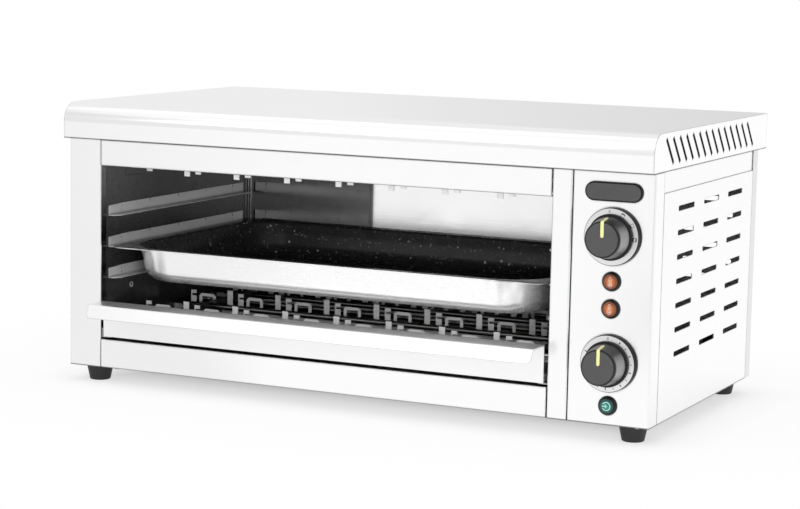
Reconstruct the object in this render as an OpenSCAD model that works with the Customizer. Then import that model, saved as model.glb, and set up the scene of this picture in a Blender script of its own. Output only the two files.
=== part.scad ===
// Countertop cheese melter: a stainless casing round an open-fronted cavity, hairpin heating
// elements above and below, rails for a 1/1 gastronorm tray, a pull-out crumb tray with a
// grip lip, and a control column with two knobs and three pilot lamps.
// X runs to the right, Y to the rear and Z up. The origin is on the bench, under the middle
// of the whole outline. Pieces are drawn from the casing's lower left front corner.

/* [Casing] */
// Width across the two side panels
body_w = 700; // [690:5:740]
// Depth from the front sheets to the back panel
body_d = 345; // [345:5:380]
// Height from the casing's bottom edge to the seam under the cover
body_h = 260.5; // [256:0.5:275]
// Thickness of the folded stainless sheet
sheet = 1; // [0.8:0.1:1.2]
// Outer radius of the folds in the sheet
fold_r = 1.8; // [1.5:0.1:3]
// Height of the rubber feet
foot_h = 18.5; // [12:0.5:30]

/* [Cover] */
// Height of the top cover above the seam
cover_h = 40; // [34:1:50]
// Overhang of the cover past the front sheets
cover_front = 11; // [6:1:16]
// Overhang of the cover behind the back panel
cover_back = 28; // [22:1:40]
// Radius of the rolled front edge
cover_r = 21.5; // [12:0.5:30]
// Number of slanted vents in each end of the cover
cover_vents = 14; // [8:1:15]

/* [Front] */
// Width of the left front post
post_w = 41.4; // [38:0.2:50]
// Width of the cavity's mouth
mouth_w = 546.6; // [546:0.2:560]
// Width of the post between the mouth and the control panel
mid_post_w = 22.2; // [18:0.2:30]
// Height of the fascia above the mouth
fascia_h = 30; // [24:1:36]
// Height of the fascia below the crumb tray
sill_h = 32.5; // [28:0.5:36]
// Open seam between neighbouring front sheets
seam = 0.6; // [0.3:0.1:1]

/* [Side vents] */
// Length of a vent slot
vent_l = 51; // [30:1:60]
// Height of a vent slot
vent_h = 5.4; // [4:0.2:8]
// Distance between vent columns
vent_dx = 83.3; // [70:0.1:95]
// Distance between vent rows
vent_dz = 25.4; // [20:0.2:30]

/* [Rails] */
// Height of the middle rail's ledge above the casing's bottom edge
ledge_z = 137.4; // [130:0.2:145]
// Distance between rail levels
rail_pitch = 35.7; // [30:0.1:45]
// Height of a rail
rail_h = 12.6; // [10:0.2:16]
// Width of a rail's ledge
ledge_w = 10.6; // [9:0.2:12]

/* [Heating elements] */
// Diameter of the armoured heating tube
tube_d = 6.5; // [6:0.1:8]
// Distance between the two legs of one element
leg_gap = 48; // [40:1:60]
// Height of the lower elements above the casing's bottom edge
tube_z = 58; // [56:0.5:60]
// Distance between the guard combs, front to rear
comb_dy = 100; // [90:1:104]
// Distance between the combs' teeth
tooth_pitch = 64.4; // [60:0.2:70]

/* [Tray] */
// Length of the 1/1 tray across its rim
tray_w = 530; // [529:0.5:530]
// Width of the 1/1 tray across its rim
tray_d = 325; // [324:0.5:325]
// Depth of the tray
tray_h = 40; // [20:1:40]
// Width of the tray's flat rim
rim_w = 11; // [10:0.5:15]

/* [Crumb tray] */
// Width of the crumb tray
crumb_w = 538.6; // [530:0.2:540]
// Reach of the grip lip in front of the casing
lip_reach = 38; // [30:1:45]

/* [Controls] */
// Diameter of the round dials behind the knobs
dial_d = 59; // [56:1:64]
// Diameter of a knob's skirt
knob_d = 47.5; // [44:0.5:50]
// Diameter of a knob's flat cap
cap_d = 37.5; // [34:0.5:40]
// Height of a knob's cap above the control panel
knob_reach = 32.5; // [28:0.5:36]
// Diameter of a pilot lamp's bezel
lamp_d = 20.2; // [18:0.2:22]

/* [Hidden] */

$fn = 48;

// Places along the front, from the left side panel
mouth_l = post_w;
mouth_r = post_w + mouth_w;
mid_x = (mouth_l + mouth_r) / 2;
panel_l = mouth_r + mid_post_w + seam;
control_x = (panel_l + body_w) / 2;

// The whole outline, which puts the origin under its middle
outline_d = lip_reach + body_d + cover_back;
front_y = lip_reach - outline_d / 2;

// Folded edges of the front sheets, the back panel and the bottom
front_return = 12;
front_wrap = 24.6;
back_wrap = 18;
edge_return = 10;
step_z = body_h - 22;

// Slots: where each set starts
slot_r = 1.6;
side_slot_at = [96.5, 66.8];
cover_slot_at = [25.5, body_h + 32];
cover_slots_l = body_d - 73;
air_slot_l = 58;
air_slot_pitch = 18;
air_slot_x = body_w - 56;
back_slot_z = 112;
base_slot_y = 110;

// Cavity box
wall_y = 337;
roof_z = body_h - 12.5;
fascia_z = body_h - fascia_h;
floor_top = 2 * sheet;
wall_flange = 9;
reflector_flange = 11.5;
rail_front = 16;
rail_back = 322;
rail_lead = 14;
rail_lead_in = 4;
rail_step = [30, 1.2];
rail_notch = [1.6, 3.2];
rail_notches_at = [103, 167, 231, 295];
rail_hole_inset = 26;
rail_hole_heights = [4.5, 9];
rail_hole_r = 0.8;
runner_w = 11;
runner_h = 10;
slide_gap = 0.3;

// Heating packs: the upper one is the lower one turned over about this height
mirror_z = 146;
comb_y = 60;
comb_foot = tube_z - 11;
comb_band = 6;
tooth_h = 27;
tooth_w = 7;
comb_t = 1.2;
post_h = 24;
post_half_w = 3.5;
post_back = tooth_pitch - 14.5;
arch_w = 22;
arch_h = 21;
arch_back = 31;
arch_bar = 3.6;
clip_slot = [[-2.2, post_h - 6.5], [4, post_h - 4]];
first_tooth = mid_x - 3 * tooth_pitch - 3;
cross_x = [first_tooth - 12, first_tooth + 6 * tooth_pitch + 53];
plate_margin = leg_gap / 2 + 9;
element_left = first_tooth - 64;
leg_end = mouth_r + sheet + 14;
bead_l = 5;
bead_r = tube_d / 2 + 1;
pin_l = 14;
pin_r = 1.6;

// Trays
rim_z = ledge_z + slide_gap;
rim_t = 1.2;
tray_front = 3;
tray_wall = 1;
tray_corner = 42;
tray_draft = 6;
tray_fillet = 18;
rim_corner = 14;
crumb_z = sill_h + 3.5;
crumb_top = 76.5;
crumb_back = 331;
crumb_rim = 9;
lip_flat = 30;
lip_drop = 14;
lip_bend_r = 2.2;

// Control column: heights of the centres on it
badge_z = body_h - 20.6;
selector_z = body_h - 66;
thermostat_z = 64.5;
upper_lamp_z = 148.5;
lower_lamp_z = 120.4;
power_lamp_z = 20.3;
shaft_r = 3;
shaft_clearance = 0.05;
shaft_in = 20;
bore_in = shaft_in + 4;
bush_r = 5;
dial_t = 6;
bush_reach = dial_t - 1;
switch_w = 42;
switch_d = 38;
head_r = 20;
head_d = 14;
base_box = [44, 34, 36];
knob_gap = 0.5;
skirt_t = 4.5;
skirt_top = dial_t + knob_gap + skirt_t;
grip_r = knob_d / 2 - 2;
cap_edge = 1.8;
socket_h = 8;
pointer_w = 3.2;
pointer_depth = 1;
pointer_proud = 0.25;
pointer_start = 3;
lens_r = 7.5;
lamp_hole_r = 6.5;
stem_r = 6.2;
stem_in = 24;
lens_seat = 1.2;
lamp_nut_r = 9.5;
lamp_nut_t = 4;
badge_l = 61.5;
badge_h = 19.6;
badge_face_h = 18;
badge_step = 2.4;
badge_t = 3;

// Back panel and feet
gland_x = body_w - 44;
gland_z = 34;
gland_hole_r = 8;
cable_r = 4.6;
foot_inset = 25;
foot_top_r = 15.3;
foot_bottom_r = 11.8;
foot_bore_r = 2.2;
foot_well_r = 5;
foot_well_h = 6;
foot_screw_r = 2;
foot_head_r = 4.2;
foot_head_h = 3.4;
screw_inset = 22;
screw_r = 3.6;
screw_h = 2.2;
feet_at = [for (x = [foot_inset, body_w - foot_inset], y = [foot_inset, body_d - foot_inset]) [x, y]];

steel = [0.86, 0.87, 0.88];
bright_steel = [0.93, 0.93, 0.94];
dark_steel = [0.45, 0.46, 0.47];
black = [0.1, 0.1, 0.11];

// Moves a piece drawn from the casing's lower left front corner to its place
module in_casing() {
    translate([-body_w / 2, front_y, foot_h]) children();
}

// Extrudes a Y-Z outline along X
module along_x(x0, x1) {
    translate([x0, 0, 0]) rotate([90, 0, 90]) linear_extrude(x1 - x0) children();
}

// Extrudes an X-Z outline along Y
module along_y(y0, y1) {
    translate([0, y1, 0]) rotate([90, 0, 0]) linear_extrude(y1 - y0) children();
}

// Extrudes an X-Y outline along Z
module along_z(z0, z1) {
    translate([0, 0, z0]) linear_extrude(z1 - z0) children();
}

// Rectangle between two corners
module span(a, b) {
    translate(a) square(b - a);
}

// Rectangle about a centre, with rounded corners
module rounded(w, h, r) {
    square([w - 2 * r, h], center = true);
    square([w, h - 2 * r], center = true);
    for (x = [-1, 1], y = [-1, 1]) {
        translate([x * (w / 2 - r), y * (h / 2 - r)]) circle(r);
    }
}

// Sheet with one fold at the origin, its legs along +x and +y
module folded(leg_x, leg_y) {
    translate([fold_r, 0]) square([leg_x - fold_r, sheet]);
    translate([0, fold_r]) square([sheet, leg_y - fold_r]);
    intersection() {
        square(fold_r);
        translate([fold_r, fold_r]) difference() {
            circle(fold_r);
            circle(fold_r - sheet);
        }
    }
}

// Sheet folded back at both ends of a face from x0 to x1, with legs of its own at each end
module channel(x0, x1, leg0, leg1) {
    half = (x1 - x0) / 2;
    translate([x0, 0]) folded(half + sheet, leg0);
    translate([x1, 0]) mirror([1, 0]) folded(half + sheet, leg1);
}

// The same along the second axis, for fascias drawn in Y-Z
module upright_channel(z0, z1, leg0, leg1) {
    half = (z1 - z0) / 2;
    translate([0, z0]) folded(leg0, half + sheet);
    translate([0, z1]) mirror([0, 1]) folded(leg1, half + sheet);
}

// Mirrors a left piece to the cavity's right side
module to_right() {
    translate([2 * mid_x, 0, 0]) mirror([1, 0, 0]) children();
}

// Turns a lower heating piece over, to hang under the roof
module to_roof() {
    translate([0, 0, 2 * mirror_z]) mirror([0, 0, 1]) children();
}

// ---- Casing -------------------------------------------------------------------------

// Cross-section of the cover, drawn a sheet's thickness smaller for the inside
module cover_section(inset) {
    top = body_h + cover_h - inset;
    bottom = body_h + (inset > 0 ? sheet : 0);
    front = inset - cover_front;
    back = body_d + cover_back - inset;
    corner = [cover_r - cover_front, body_h + cover_h - cover_r];
    span([front, bottom], [back, corner[1]]);
    span([corner[0], bottom], [back, top]);
    intersection() {
        span([front, corner[1]], [corner[0], top]);
        translate(corner) circle(cover_r - inset, $fn = 96);
    }
}

// One slanted vent, from its upper front end to its lower rear end
module slanted_vent() {
    rise = 25.6;
    run = 22.7;
    width = 3;
    reach = sqrt(rise * rise + run * run) - width;
    rotate(-atan(rise / run)) {
        span([0, -width / 2], [reach, width / 2]);
        circle(width / 2, $fn = 16);
        translate([reach, 0]) circle(width / 2, $fn = 16);
    }
}

module top_cover() color(steel) in_casing() {
    side = 0.5;
    lip = 11;
    pitch = cover_slots_l / (cover_vents - 1);
    difference() {
        along_x(-side, body_w + side) cover_section(0);
        along_x(sheet - side, body_w + side - sheet) cover_section(sheet);
        // Open underside, inside a narrow return
        along_z(body_h - 1, body_h + sheet + 1) {
            span([lip, lip - cover_front], [body_w - lip, body_d + cover_back - lip]);
        }
        along_x(-1 - side, body_w + side + 1) for (i = [0 : cover_vents - 1]) {
            translate(cover_slot_at + [i * pitch, 0]) slanted_vent();
        }
    }
}

// Seven rows of slots in three columns
module vent_grid() {
    for (column = [0 : 2], row = [0 : 6]) {
        translate(side_slot_at + [column * vent_dx, row * vent_dz]) rounded(vent_l, vent_h, slot_r);
    }
}

// Right side panel: its top band is set back by one sheet, below the seam
module side_panel() {
    difference() {
        along_y(front_wrap + seam, body_d - back_wrap - seam) {
            span([body_w - sheet, 0], [body_w, step_z]);
            span([body_w - 2 * sheet, step_z - sheet], [body_w, step_z]);
            span([body_w - 2 * sheet, step_z - sheet], [body_w - sheet, body_h]);
            span([body_w - edge_return, 0], [body_w, sheet]);
            span([body_w - edge_return, body_h - sheet], [body_w - sheet, body_h]);
        }
        along_x(body_w - 2 * sheet - 1, body_w + 1) vent_grid();
    }
}

module right_side_panel() color(steel) in_casing() side_panel();

module left_side_panel() color(steel) in_casing() {
    translate([body_w, 0, 0]) mirror([1, 0, 0]) side_panel();
}

// Six slots for the control compartment's air, from the first one's place on the sheet
module air_slots(first) {
    for (row = [0 : 5]) {
        translate([air_slot_x, first + row * air_slot_pitch]) rounded(air_slot_l, vent_h, slot_r);
    }
}

module back_panel() color(steel) in_casing() {
    difference() {
        union() {
            along_z(0, body_h) translate([0, body_d]) mirror([0, 1]) {
                channel(0, body_w, back_wrap, back_wrap);
            }
            for (z = [0, body_h - sheet]) {
                along_z(z, z + sheet) {
                    span([fold_r, body_d - edge_return], [body_w - fold_r, body_d - sheet]);
                }
            }
        }
        along_y(body_d - 3, body_d + 1) {
            air_slots(back_slot_z);
            translate([gland_x, gland_z]) circle(gland_hole_r);
        }
    }
}

module base_plate() color(steel) in_casing() {
    difference() {
        along_z(sheet, floor_top) {
            span([sheet, front_return], [body_w - sheet, body_d - sheet]);
        }
        along_z(0, floor_top + 1) {
            air_slots(base_slot_y);
            for (at = feet_at) {
                translate(at) circle(foot_screw_r + 0.1);
            }
        }
    }
}

// ---- Front --------------------------------------------------------------------------

module left_front_post() color(steel) in_casing() {
    along_z(0, body_h) channel(0, post_w, front_wrap, front_return);
}

module middle_front_post() color(steel) in_casing() {
    along_z(0, body_h) channel(mouth_r, mouth_r + mid_post_w, front_return, front_return);
}

module top_fascia() color(steel) in_casing() {
    along_x(mouth_l + seam, mouth_r - seam) {
        upright_channel(fascia_z, body_h, front_return + 2, front_return + 2);
    }
}

module bottom_fascia() color(steel) in_casing() {
    along_x(mouth_l + seam, mouth_r - seam) {
        upright_channel(0, sill_h, front_return + 6, front_return + 6);
    }
}

module control_panel() color(steel) in_casing() {
    difference() {
        along_z(0, body_h) channel(panel_l, body_w, front_return, front_wrap);
        along_y(-1, 3) {
            for (z = [selector_z, thermostat_z]) {
                translate([control_x, z]) circle(bush_r + 0.1);
            }
            for (z = [upper_lamp_z, lower_lamp_z, power_lamp_z]) {
                translate([control_x, z]) circle(lamp_hole_r + 0.1);
            }
        }
    }
}

// ---- Cavity -------------------------------------------------------------------------

// Where the twelve element legs pass the right wall, in Y-Z
module leg_holes(r) {
    for (row = [0 : 2], side = [-1, 1], z = [tube_z, 2 * mirror_z - tube_z]) {
        translate([comb_y + row * comb_dy + side * leg_gap / 2, z]) circle(r);
    }
}

module cavity_left_wall() color(dark_steel) in_casing() {
    along_z(floor_top, roof_z) {
        span([mouth_l - sheet, front_return], [mouth_l, wall_y + sheet]);
    }
}

module cavity_right_wall() color(dark_steel) in_casing() {
    difference() {
        along_z(floor_top, roof_z) {
            span([mouth_r, front_return], [mouth_r + sheet, wall_y + sheet]);
        }
        along_x(mouth_r - 1, mouth_r + sheet + 1) leg_holes(tube_d / 2 + 0.1);
    }
}

// Back sheet with two flanges that lap the side walls
module cavity_back_wall() color(dark_steel) in_casing() {
    along_z(floor_top, roof_z) translate([0, wall_y + sheet]) mirror([0, 1]) {
        channel(mouth_l, mouth_r, wall_flange, wall_flange);
    }
}

module upper_reflector() color(dark_steel) in_casing() {
    along_x(mouth_l - sheet, mouth_r + sheet) {
        translate([front_return + 2, roof_z]) folded(wall_y - front_return - 1, reflector_flange);
    }
}

// Left rail: an angle with a lead-in, notches in its top edge and two fixing holes near each end
module rail(level) {
    z0 = ledge_z - sheet + level * rail_pitch;
    lead_end = rail_front + rail_lead;
    step_end = rail_front + rail_step[0];
    difference() {
        along_y(rail_front, rail_back) {
            translate([mouth_l, z0]) {
                square([sheet, rail_h]);
                square([sheet + ledge_w, sheet]);
            }
        }
        // Lead-ins on the upright's top corner and the ledge's front corner
        along_x(mouth_l - 1, mouth_l + sheet + 0.1) {
            polygon([[rail_front - 1, z0 + rail_h - rail_step[1]], [step_end, z0 + rail_h],
                     [step_end, z0 + rail_h + 1], [rail_front - 1, z0 + rail_h + 1]]);
        }
        along_z(z0 - 1, z0 + sheet + 1) {
            polygon([[mouth_l + ledge_w - rail_lead_in, rail_front - 1],
                     [mouth_l + ledge_w + 3, rail_front - 1], [mouth_l + ledge_w + 3, lead_end]]);
        }
        along_x(mouth_l - 1, mouth_l + sheet + 1) {
            for (y = [rail_front + rail_hole_inset, rail_back - rail_hole_inset], z = rail_hole_heights) {
                translate([y, z0 + z]) circle(rail_hole_r, $fn = 16);
            }
            for (y = rail_notches_at) {
                translate([y, z0 + rail_h]) square([rail_notch[0], 2 * rail_notch[1]], center = true);
            }
        }
    }
}

module left_rail_top() color(dark_steel) in_casing() rail(1);
module left_rail_middle() color(dark_steel) in_casing() rail(0);
module left_rail_bottom() color(dark_steel) in_casing() rail(-1);
module right_rail_top() color(dark_steel) in_casing() to_right() rail(1);
module right_rail_middle() color(dark_steel) in_casing() to_right() rail(0);
module right_rail_bottom() color(dark_steel) in_casing() to_right() rail(-1);

module crumb_tray_runner() {
    along_y(3, wall_y - wall_flange - 0.5) translate([mouth_l, crumb_z - slide_gap - sheet]) {
        square([runner_w, sheet]);
        square([sheet, runner_h]);
    }
}

module crumb_tray_runners() color(dark_steel) in_casing() {
    crumb_tray_runner();
    to_right() crumb_tray_runner();
}

// ---- Heating packs ------------------------------------------------------------------

// Outline of a chamfered arch, still filled in
module comb_arch() {
    chamfer = 3;
    polygon([[-arch_w / 2, 0], [arch_w / 2, 0], [arch_w / 2, arch_h - chamfer],
             [arch_w / 2 - chamfer, arch_h], [chamfer - arch_w / 2, arch_h],
             [-arch_w / 2, arch_h - chamfer]]);
}

// Guard comb, from wall to wall: a band with a tooth, a clip post and an arch at each pitch
module comb(row) {
    y = comb_y + row * comb_dy;
    starts = [for (i = [0 : 7]) first_tooth + i * tooth_pitch];
    along_y(y - comb_t / 2, y + comb_t / 2) translate([0, comb_foot]) difference() {
        union() {
            span([mouth_l, 0], [mouth_r, comb_band]);
            for (x = starts) {
                translate([x - post_back, 0]) span([-post_half_w, 0], [post_half_w, post_h]);
                translate([x - arch_back, 0]) comb_arch();
            }
            for (i = [0 : 6]) {
                translate([starts[i], 0]) span([-tooth_w / 2, 0], [tooth_w / 2, tooth_h]);
            }
        }
        // The arches' windows and a slot across each clip post
        for (x = starts) {
            translate([x - arch_back, 0]) {
                span([arch_bar - arch_w / 2, comb_band + 1], [arch_w / 2 - arch_bar, arch_h - arch_bar]);
            }
            translate([x - post_back, 0]) span(clip_slot[0], clip_slot[1]);
        }
    }
}

module lower_comb_front() color(dark_steel) in_casing() comb(0);
module lower_comb_middle() color(dark_steel) in_casing() comb(1);
module lower_comb_rear() color(dark_steel) in_casing() comb(2);
module upper_comb_front() color(dark_steel) in_casing() to_roof() comb(0);
module upper_comb_middle() color(dark_steel) in_casing() to_roof() comb(1);
module upper_comb_rear() color(dark_steel) in_casing() to_roof() comb(2);

// Two plates across the combs, which carry the tubes and sit on the combs' bands
module cross_plates() {
    front = comb_y - plate_margin;
    back = comb_y + 2 * comb_dy + plate_margin;
    for (x = cross_x) {
        along_x(x - comb_t / 2, x + comb_t / 2) difference() {
            span([front, comb_foot], [back, tube_z + tube_d]);
            for (row = [0 : 2]) {
                translate([comb_y + row * comb_dy, comb_foot]) {
                    span([-comb_t / 2, -1], [comb_t / 2, comb_band]);
                    for (side = [-1, 1]) {
                        translate([side * leg_gap / 2, tube_z - comb_foot]) circle(tube_d / 2 + 0.05);
                    }
                }
            }
        }
    }
}

module lower_cross_plates() color(dark_steel) in_casing() cross_plates();
module upper_cross_plates() color(dark_steel) in_casing() to_roof() cross_plates();

// Hairpin tube: two legs that leave through the right wall, joined by a bend at the left
module element(row) {
    bend_r = leg_gap / 2;
    bend_x = element_left + bend_r + tube_d / 2;
    translate([bend_x, comb_y + row * comb_dy, tube_z]) {
        for (side = [-1, 1]) {
            translate([0, side * bend_r, 0]) rotate([0, 90, 0]) {
                cylinder(h = leg_end - bend_x, d = tube_d, $fn = 32);
            }
        }
        rotate([0, 0, 90]) rotate_extrude(angle = 180, $fn = 64) {
            translate([bend_r, 0]) circle(d = tube_d, $fn = 32);
        }
    }
}

module lower_element_front() color(dark_steel) in_casing() element(0);
module lower_element_middle() color(dark_steel) in_casing() element(1);
module lower_element_rear() color(dark_steel) in_casing() element(2);
module upper_element_front() color(dark_steel) in_casing() to_roof() element(0);
module upper_element_middle() color(dark_steel) in_casing() to_roof() element(1);
module upper_element_rear() color(dark_steel) in_casing() to_roof() element(2);

// Ceramic bead and threaded pin on each leg's end
module element_terminals() color("ivory") in_casing() {
    along_x(leg_end, leg_end + bead_l) leg_holes(bead_r);
    along_x(leg_end, leg_end + pin_l) leg_holes(pin_r);
}

// ---- Controls -----------------------------------------------------------------------

// Places a piece turned about Z on the control panel, its own +z pointing to the front
module on_panel(z) {
    translate([control_x, 0, z]) rotate([90, 0, 0]) children();
}

// Bush that passes the panel, and the bore that the shaft turns in
module bush() {
    translate([0, 0, -sheet - 1]) cylinder(h = bush_reach + sheet + 1, r = bush_r);
}

module shaft_bore() {
    translate([0, 0, -bore_in]) cylinder(h = bore_in + knob_reach, r = shaft_r + shaft_clearance);
}

// Four-position switch behind the panel: a square body and a threaded bush
module selector_switch() color([0.93, 0.92, 0.86]) in_casing() on_panel(selector_z) {
    difference() {
        union() {
            translate([0, 0, -switch_d]) linear_extrude(switch_d - sheet) rounded(switch_w, switch_w, 4);
            bush();
        }
        shaft_bore();
    }
}

// Capillary thermostat behind the panel: a round head on a boxed base
module thermostat() color(bright_steel) in_casing() on_panel(thermostat_z) {
    difference() {
        union() {
            translate([0, 0, -head_d]) cylinder(h = head_d - sheet, r = head_r);
            translate([0, 0, -base_box[2]]) linear_extrude(base_box[2] - head_d) {
                rounded(base_box[0], base_box[1], 3);
            }
            bush();
        }
        shaft_bore();
    }
}

// Round dial with a bevelled rim, seated on the panel over the bush
module dial() {
    bevel = 0.8;
    hole_r = bush_r + 0.1;
    sink_r = bush_r + 3;
    sink_z = dial_t - 1.5;
    rotate_extrude($fn = 96) {
        polygon([[hole_r, 0], [dial_d / 2, 0], [dial_d / 2, dial_t - bevel],
                 [dial_d / 2 - bevel, dial_t], [sink_r, dial_t], [sink_r, sink_z], [hole_r, sink_z]]);
    }
}

module selector_dial() color(bright_steel) in_casing() on_panel(selector_z) dial();
module thermostat_dial() color(bright_steel) in_casing() on_panel(thermostat_z) dial();

// Half outline of the knob: a skirt, a tapering grip and a cap with a rounded edge
module knob_section() {
    z0 = dial_t + knob_gap;
    r = knob_d / 2;
    bevel = 1.2;
    cap_z = knob_reach - cap_edge;
    difference() {
        union() {
            polygon([[shaft_r, z0], [r - bevel / 2, z0], [r, z0 + bevel / 2],
                     [r, skirt_top - bevel], [r - bevel, skirt_top], [grip_r, skirt_top],
                     [cap_d / 2, cap_z], [shaft_r, cap_z]]);
            span([0, skirt_top + socket_h], [cap_d / 2 - cap_edge, knob_reach]);
            translate([cap_d / 2 - cap_edge, cap_z]) circle(cap_edge, $fn = 32);
        }
        // Hollow skirt, as a moulded knob has
        span([shaft_r + 4, z0 - 1], [grip_r - 2.5, skirt_top + 6]);
    }
}

// Side outline of the pointer's insert: along the cap, round its edge and down the grip
module pointer_outline() {
    steps = 6;
    centre = [cap_d / 2 - cap_edge, knob_reach - cap_edge];
    lean = atan((grip_r - cap_d / 2) / (centre[1] - skirt_top));
    outer = cap_edge + pointer_proud;
    inner = cap_edge - pointer_depth;
    down = 13 * [sin(lean), -cos(lean)];
    polygon(concat(
        [[pointer_start, centre[1] + inner]],
        [for (i = [0 : steps]) let (a = 90 - (90 - lean) * i / steps) centre + inner * [cos(a), sin(a)]],
        [centre + inner * [cos(lean), sin(lean)] + down, centre + outer * [cos(lean), sin(lean)] + down],
        [for (i = [0 : steps]) let (a = lean + (90 - lean) * i / steps) centre + outer * [cos(a), sin(a)]],
        [[pointer_start, centre[1] + outer]]));
}

module knob_pointer() {
    along_x(-pointer_w / 2, pointer_w / 2) pointer_outline();
}

module knob() {
    difference() {
        rotate_extrude($fn = 96) knob_section();
        knob_pointer();
    }
}

// Shaft from inside the switch to the knob's socket
module knob_shaft() {
    translate([0, 0, -shaft_in]) cylinder(h = shaft_in + skirt_top + socket_h, r = shaft_r);
}

module selector_knob() color(black) in_casing() on_panel(selector_z) knob();
module selector_pointer() color([0.85, 0.9, 0.3]) in_casing() on_panel(selector_z) knob_pointer();
module selector_shaft() color(steel) in_casing() on_panel(selector_z) knob_shaft();
module thermostat_knob() color(black) in_casing() on_panel(thermostat_z) knob();
module thermostat_pointer() color([0.85, 0.9, 0.3]) in_casing() on_panel(thermostat_z) knob_pointer();
module thermostat_shaft() color(steel) in_casing() on_panel(thermostat_z) knob_shaft();

// Domed ring round each lens, held behind the panel by a nut
module lamp_bezel() {
    rise = 4;
    rotate_extrude($fn = 64) {
        difference() {
            union() {
                polygon([[lens_r, 0], [lamp_d / 2, 0], [lamp_d / 2, 1.4],
                         [lamp_d / 2 - 1, rise - 0.8], [lens_r + 0.8, rise], [lens_r, rise]]);
                span([lens_r - 2.4, 0], [lens_r + 0.1, lens_seat]);
            }
            span([0, -1], [stem_r, 2]);
        }
    }
    translate([0, 0, -sheet - lamp_nut_t]) difference() {
        cylinder(h = lamp_nut_t, r = lamp_nut_r, $fn = 6);
        translate([0, 0, -1]) cylinder(h = lamp_nut_t + 2, r = stem_r);
    }
}

module lamp_bezels() color(black) in_casing() {
    for (z = [upper_lamp_z, lower_lamp_z, power_lamp_z]) {
        on_panel(z) lamp_bezel();
    }
}

// Lens with a low dome, on a stem that passes the panel, and two terminals
module lens() {
    dome_r = 18;
    rise = 4.6;
    blade = [0.8, 4, 8];
    translate([0, 0, lens_seat]) intersection() {
        cylinder(h = rise, r = lens_r);
        translate([0, 0, rise - lens_seat - dome_r]) sphere(dome_r, $fn = 64);
    }
    translate([0, 0, -stem_in]) cylinder(h = stem_in + lens_seat, r = stem_r);
    for (side = [-1, 1]) {
        translate([side * 2.5 - blade[0] / 2, -blade[1] / 2, 1 - stem_in - blade[2]]) cube(blade);
    }
}

module upper_heat_lens() color([0.85, 0.4, 0.1]) in_casing() on_panel(upper_lamp_z) lens();
module lower_heat_lens() color([0.85, 0.4, 0.1]) in_casing() on_panel(lower_lamp_z) lens();
module power_lens() color([0.1, 0.6, 0.45]) in_casing() on_panel(power_lamp_z) lens();

// Bare pill-shaped plate with a stepped edge
module blank_badge() color(black) in_casing() on_panel(badge_z) {
    straight = badge_l - badge_h;
    for (layer = [[badge_h, 0, badge_step], [badge_face_h, badge_step, badge_t]]) {
        translate([0, 0, layer[1]]) linear_extrude(layer[2] - layer[1]) {
            square([straight, layer[0]], center = true);
            for (side = [-1, 1]) {
                translate([side * straight / 2, 0]) circle(d = layer[0]);
            }
        }
    }
}

// ---- Supply -------------------------------------------------------------------------

// Three-way block on the base, with a screw well over each way
module terminal_block() color([0.93, 0.92, 0.86]) in_casing() {
    way = 14;
    depth = 24;
    height = 20;
    well_z = 8;
    wire_z = 5;
    translate([gland_x - 1.5 * way, body_d - 3 * depth, floor_top]) difference() {
        cube([3 * way, depth, height]);
        for (i = [0 : 2]) {
            translate([(i + 0.5) * way, depth / 2, well_z]) cylinder(h = height, r = 3);
            translate([(i + 0.5) * way, -1, wire_z]) rotate([-90, 0, 0]) cylinder(h = depth + 2, r = 2.4);
        }
    }
}

// Gland in the back panel: a collar, a domed nut outside and a lock nut inside
module cable_gland() color(black) in_casing() {
    nut_t = 5;
    nut_r = 12;
    dome_l = 12;
    thread_l = 12;
    translate([gland_x, body_d, gland_z]) rotate([-90, 0, 0]) difference() {
        union() {
            cylinder(h = nut_t, r = nut_r, $fn = 6);
            translate([0, 0, nut_t]) cylinder(h = dome_l, r1 = 10.4, r2 = 8.6);
            translate([0, 0, -thread_l]) cylinder(h = thread_l + 1, r = gland_hole_r);
            translate([0, 0, -sheet - nut_t]) cylinder(h = nut_t, r = nut_r, $fn = 6);
        }
        translate([0, 0, -thread_l - 1]) cylinder(h = thread_l + nut_t + dome_l + 3, r = cable_r);
    }
}

// ---- Feet and screws ----------------------------------------------------------------

module rubber_feet() color(black) in_casing() {
    for (at = feet_at) {
        translate([at[0], at[1], 0]) rotate_extrude() {
            polygon([[foot_bore_r, sheet], [foot_top_r, sheet], [foot_top_r, -1.5],
                     [foot_bottom_r, 0.6 - foot_h], [foot_bottom_r - 0.8, -foot_h],
                     [foot_well_r, -foot_h], [foot_well_r, foot_well_h - foot_h],
                     [foot_bore_r, foot_well_h - foot_h]]);
        }
    }
}

module foot_screws() color(bright_steel) in_casing() {
    for (at = feet_at) {
        translate([at[0], at[1], foot_well_h - foot_h - foot_head_h]) {
            cylinder(h = foot_head_h, r = foot_head_r);
            cylinder(h = foot_h + 5, r = foot_screw_r);
        }
    }
}

// Pan-head screws round the back panel
module casing_screws() color(bright_steel) in_casing() {
    rows = [screw_inset, body_h / 2, body_h - screw_inset];
    for (x = [screw_inset, body_w - 14], z = rows) {
        translate([x, body_d, z]) rotate([-90, 0, 0]) casing_screw();
    }
    for (x = [body_w / 3, body_w * 2 / 3], z = [rows[0], rows[2]]) {
        translate([x, body_d, z]) rotate([-90, 0, 0]) casing_screw();
    }
}

module casing_screw() {
    difference() {
        intersection() {
            cylinder(h = screw_h, r = screw_r, $fn = 32);
            translate([0, 0, screw_h - 4.8]) sphere(4.8, $fn = 32);
        }
        for (a = [0, 90]) {
            rotate(a) translate([-2.4, -0.5, screw_h - 1]) cube([4.8, 1, 2]);
        }
    }
}

// ---- Trays --------------------------------------------------------------------------

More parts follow.
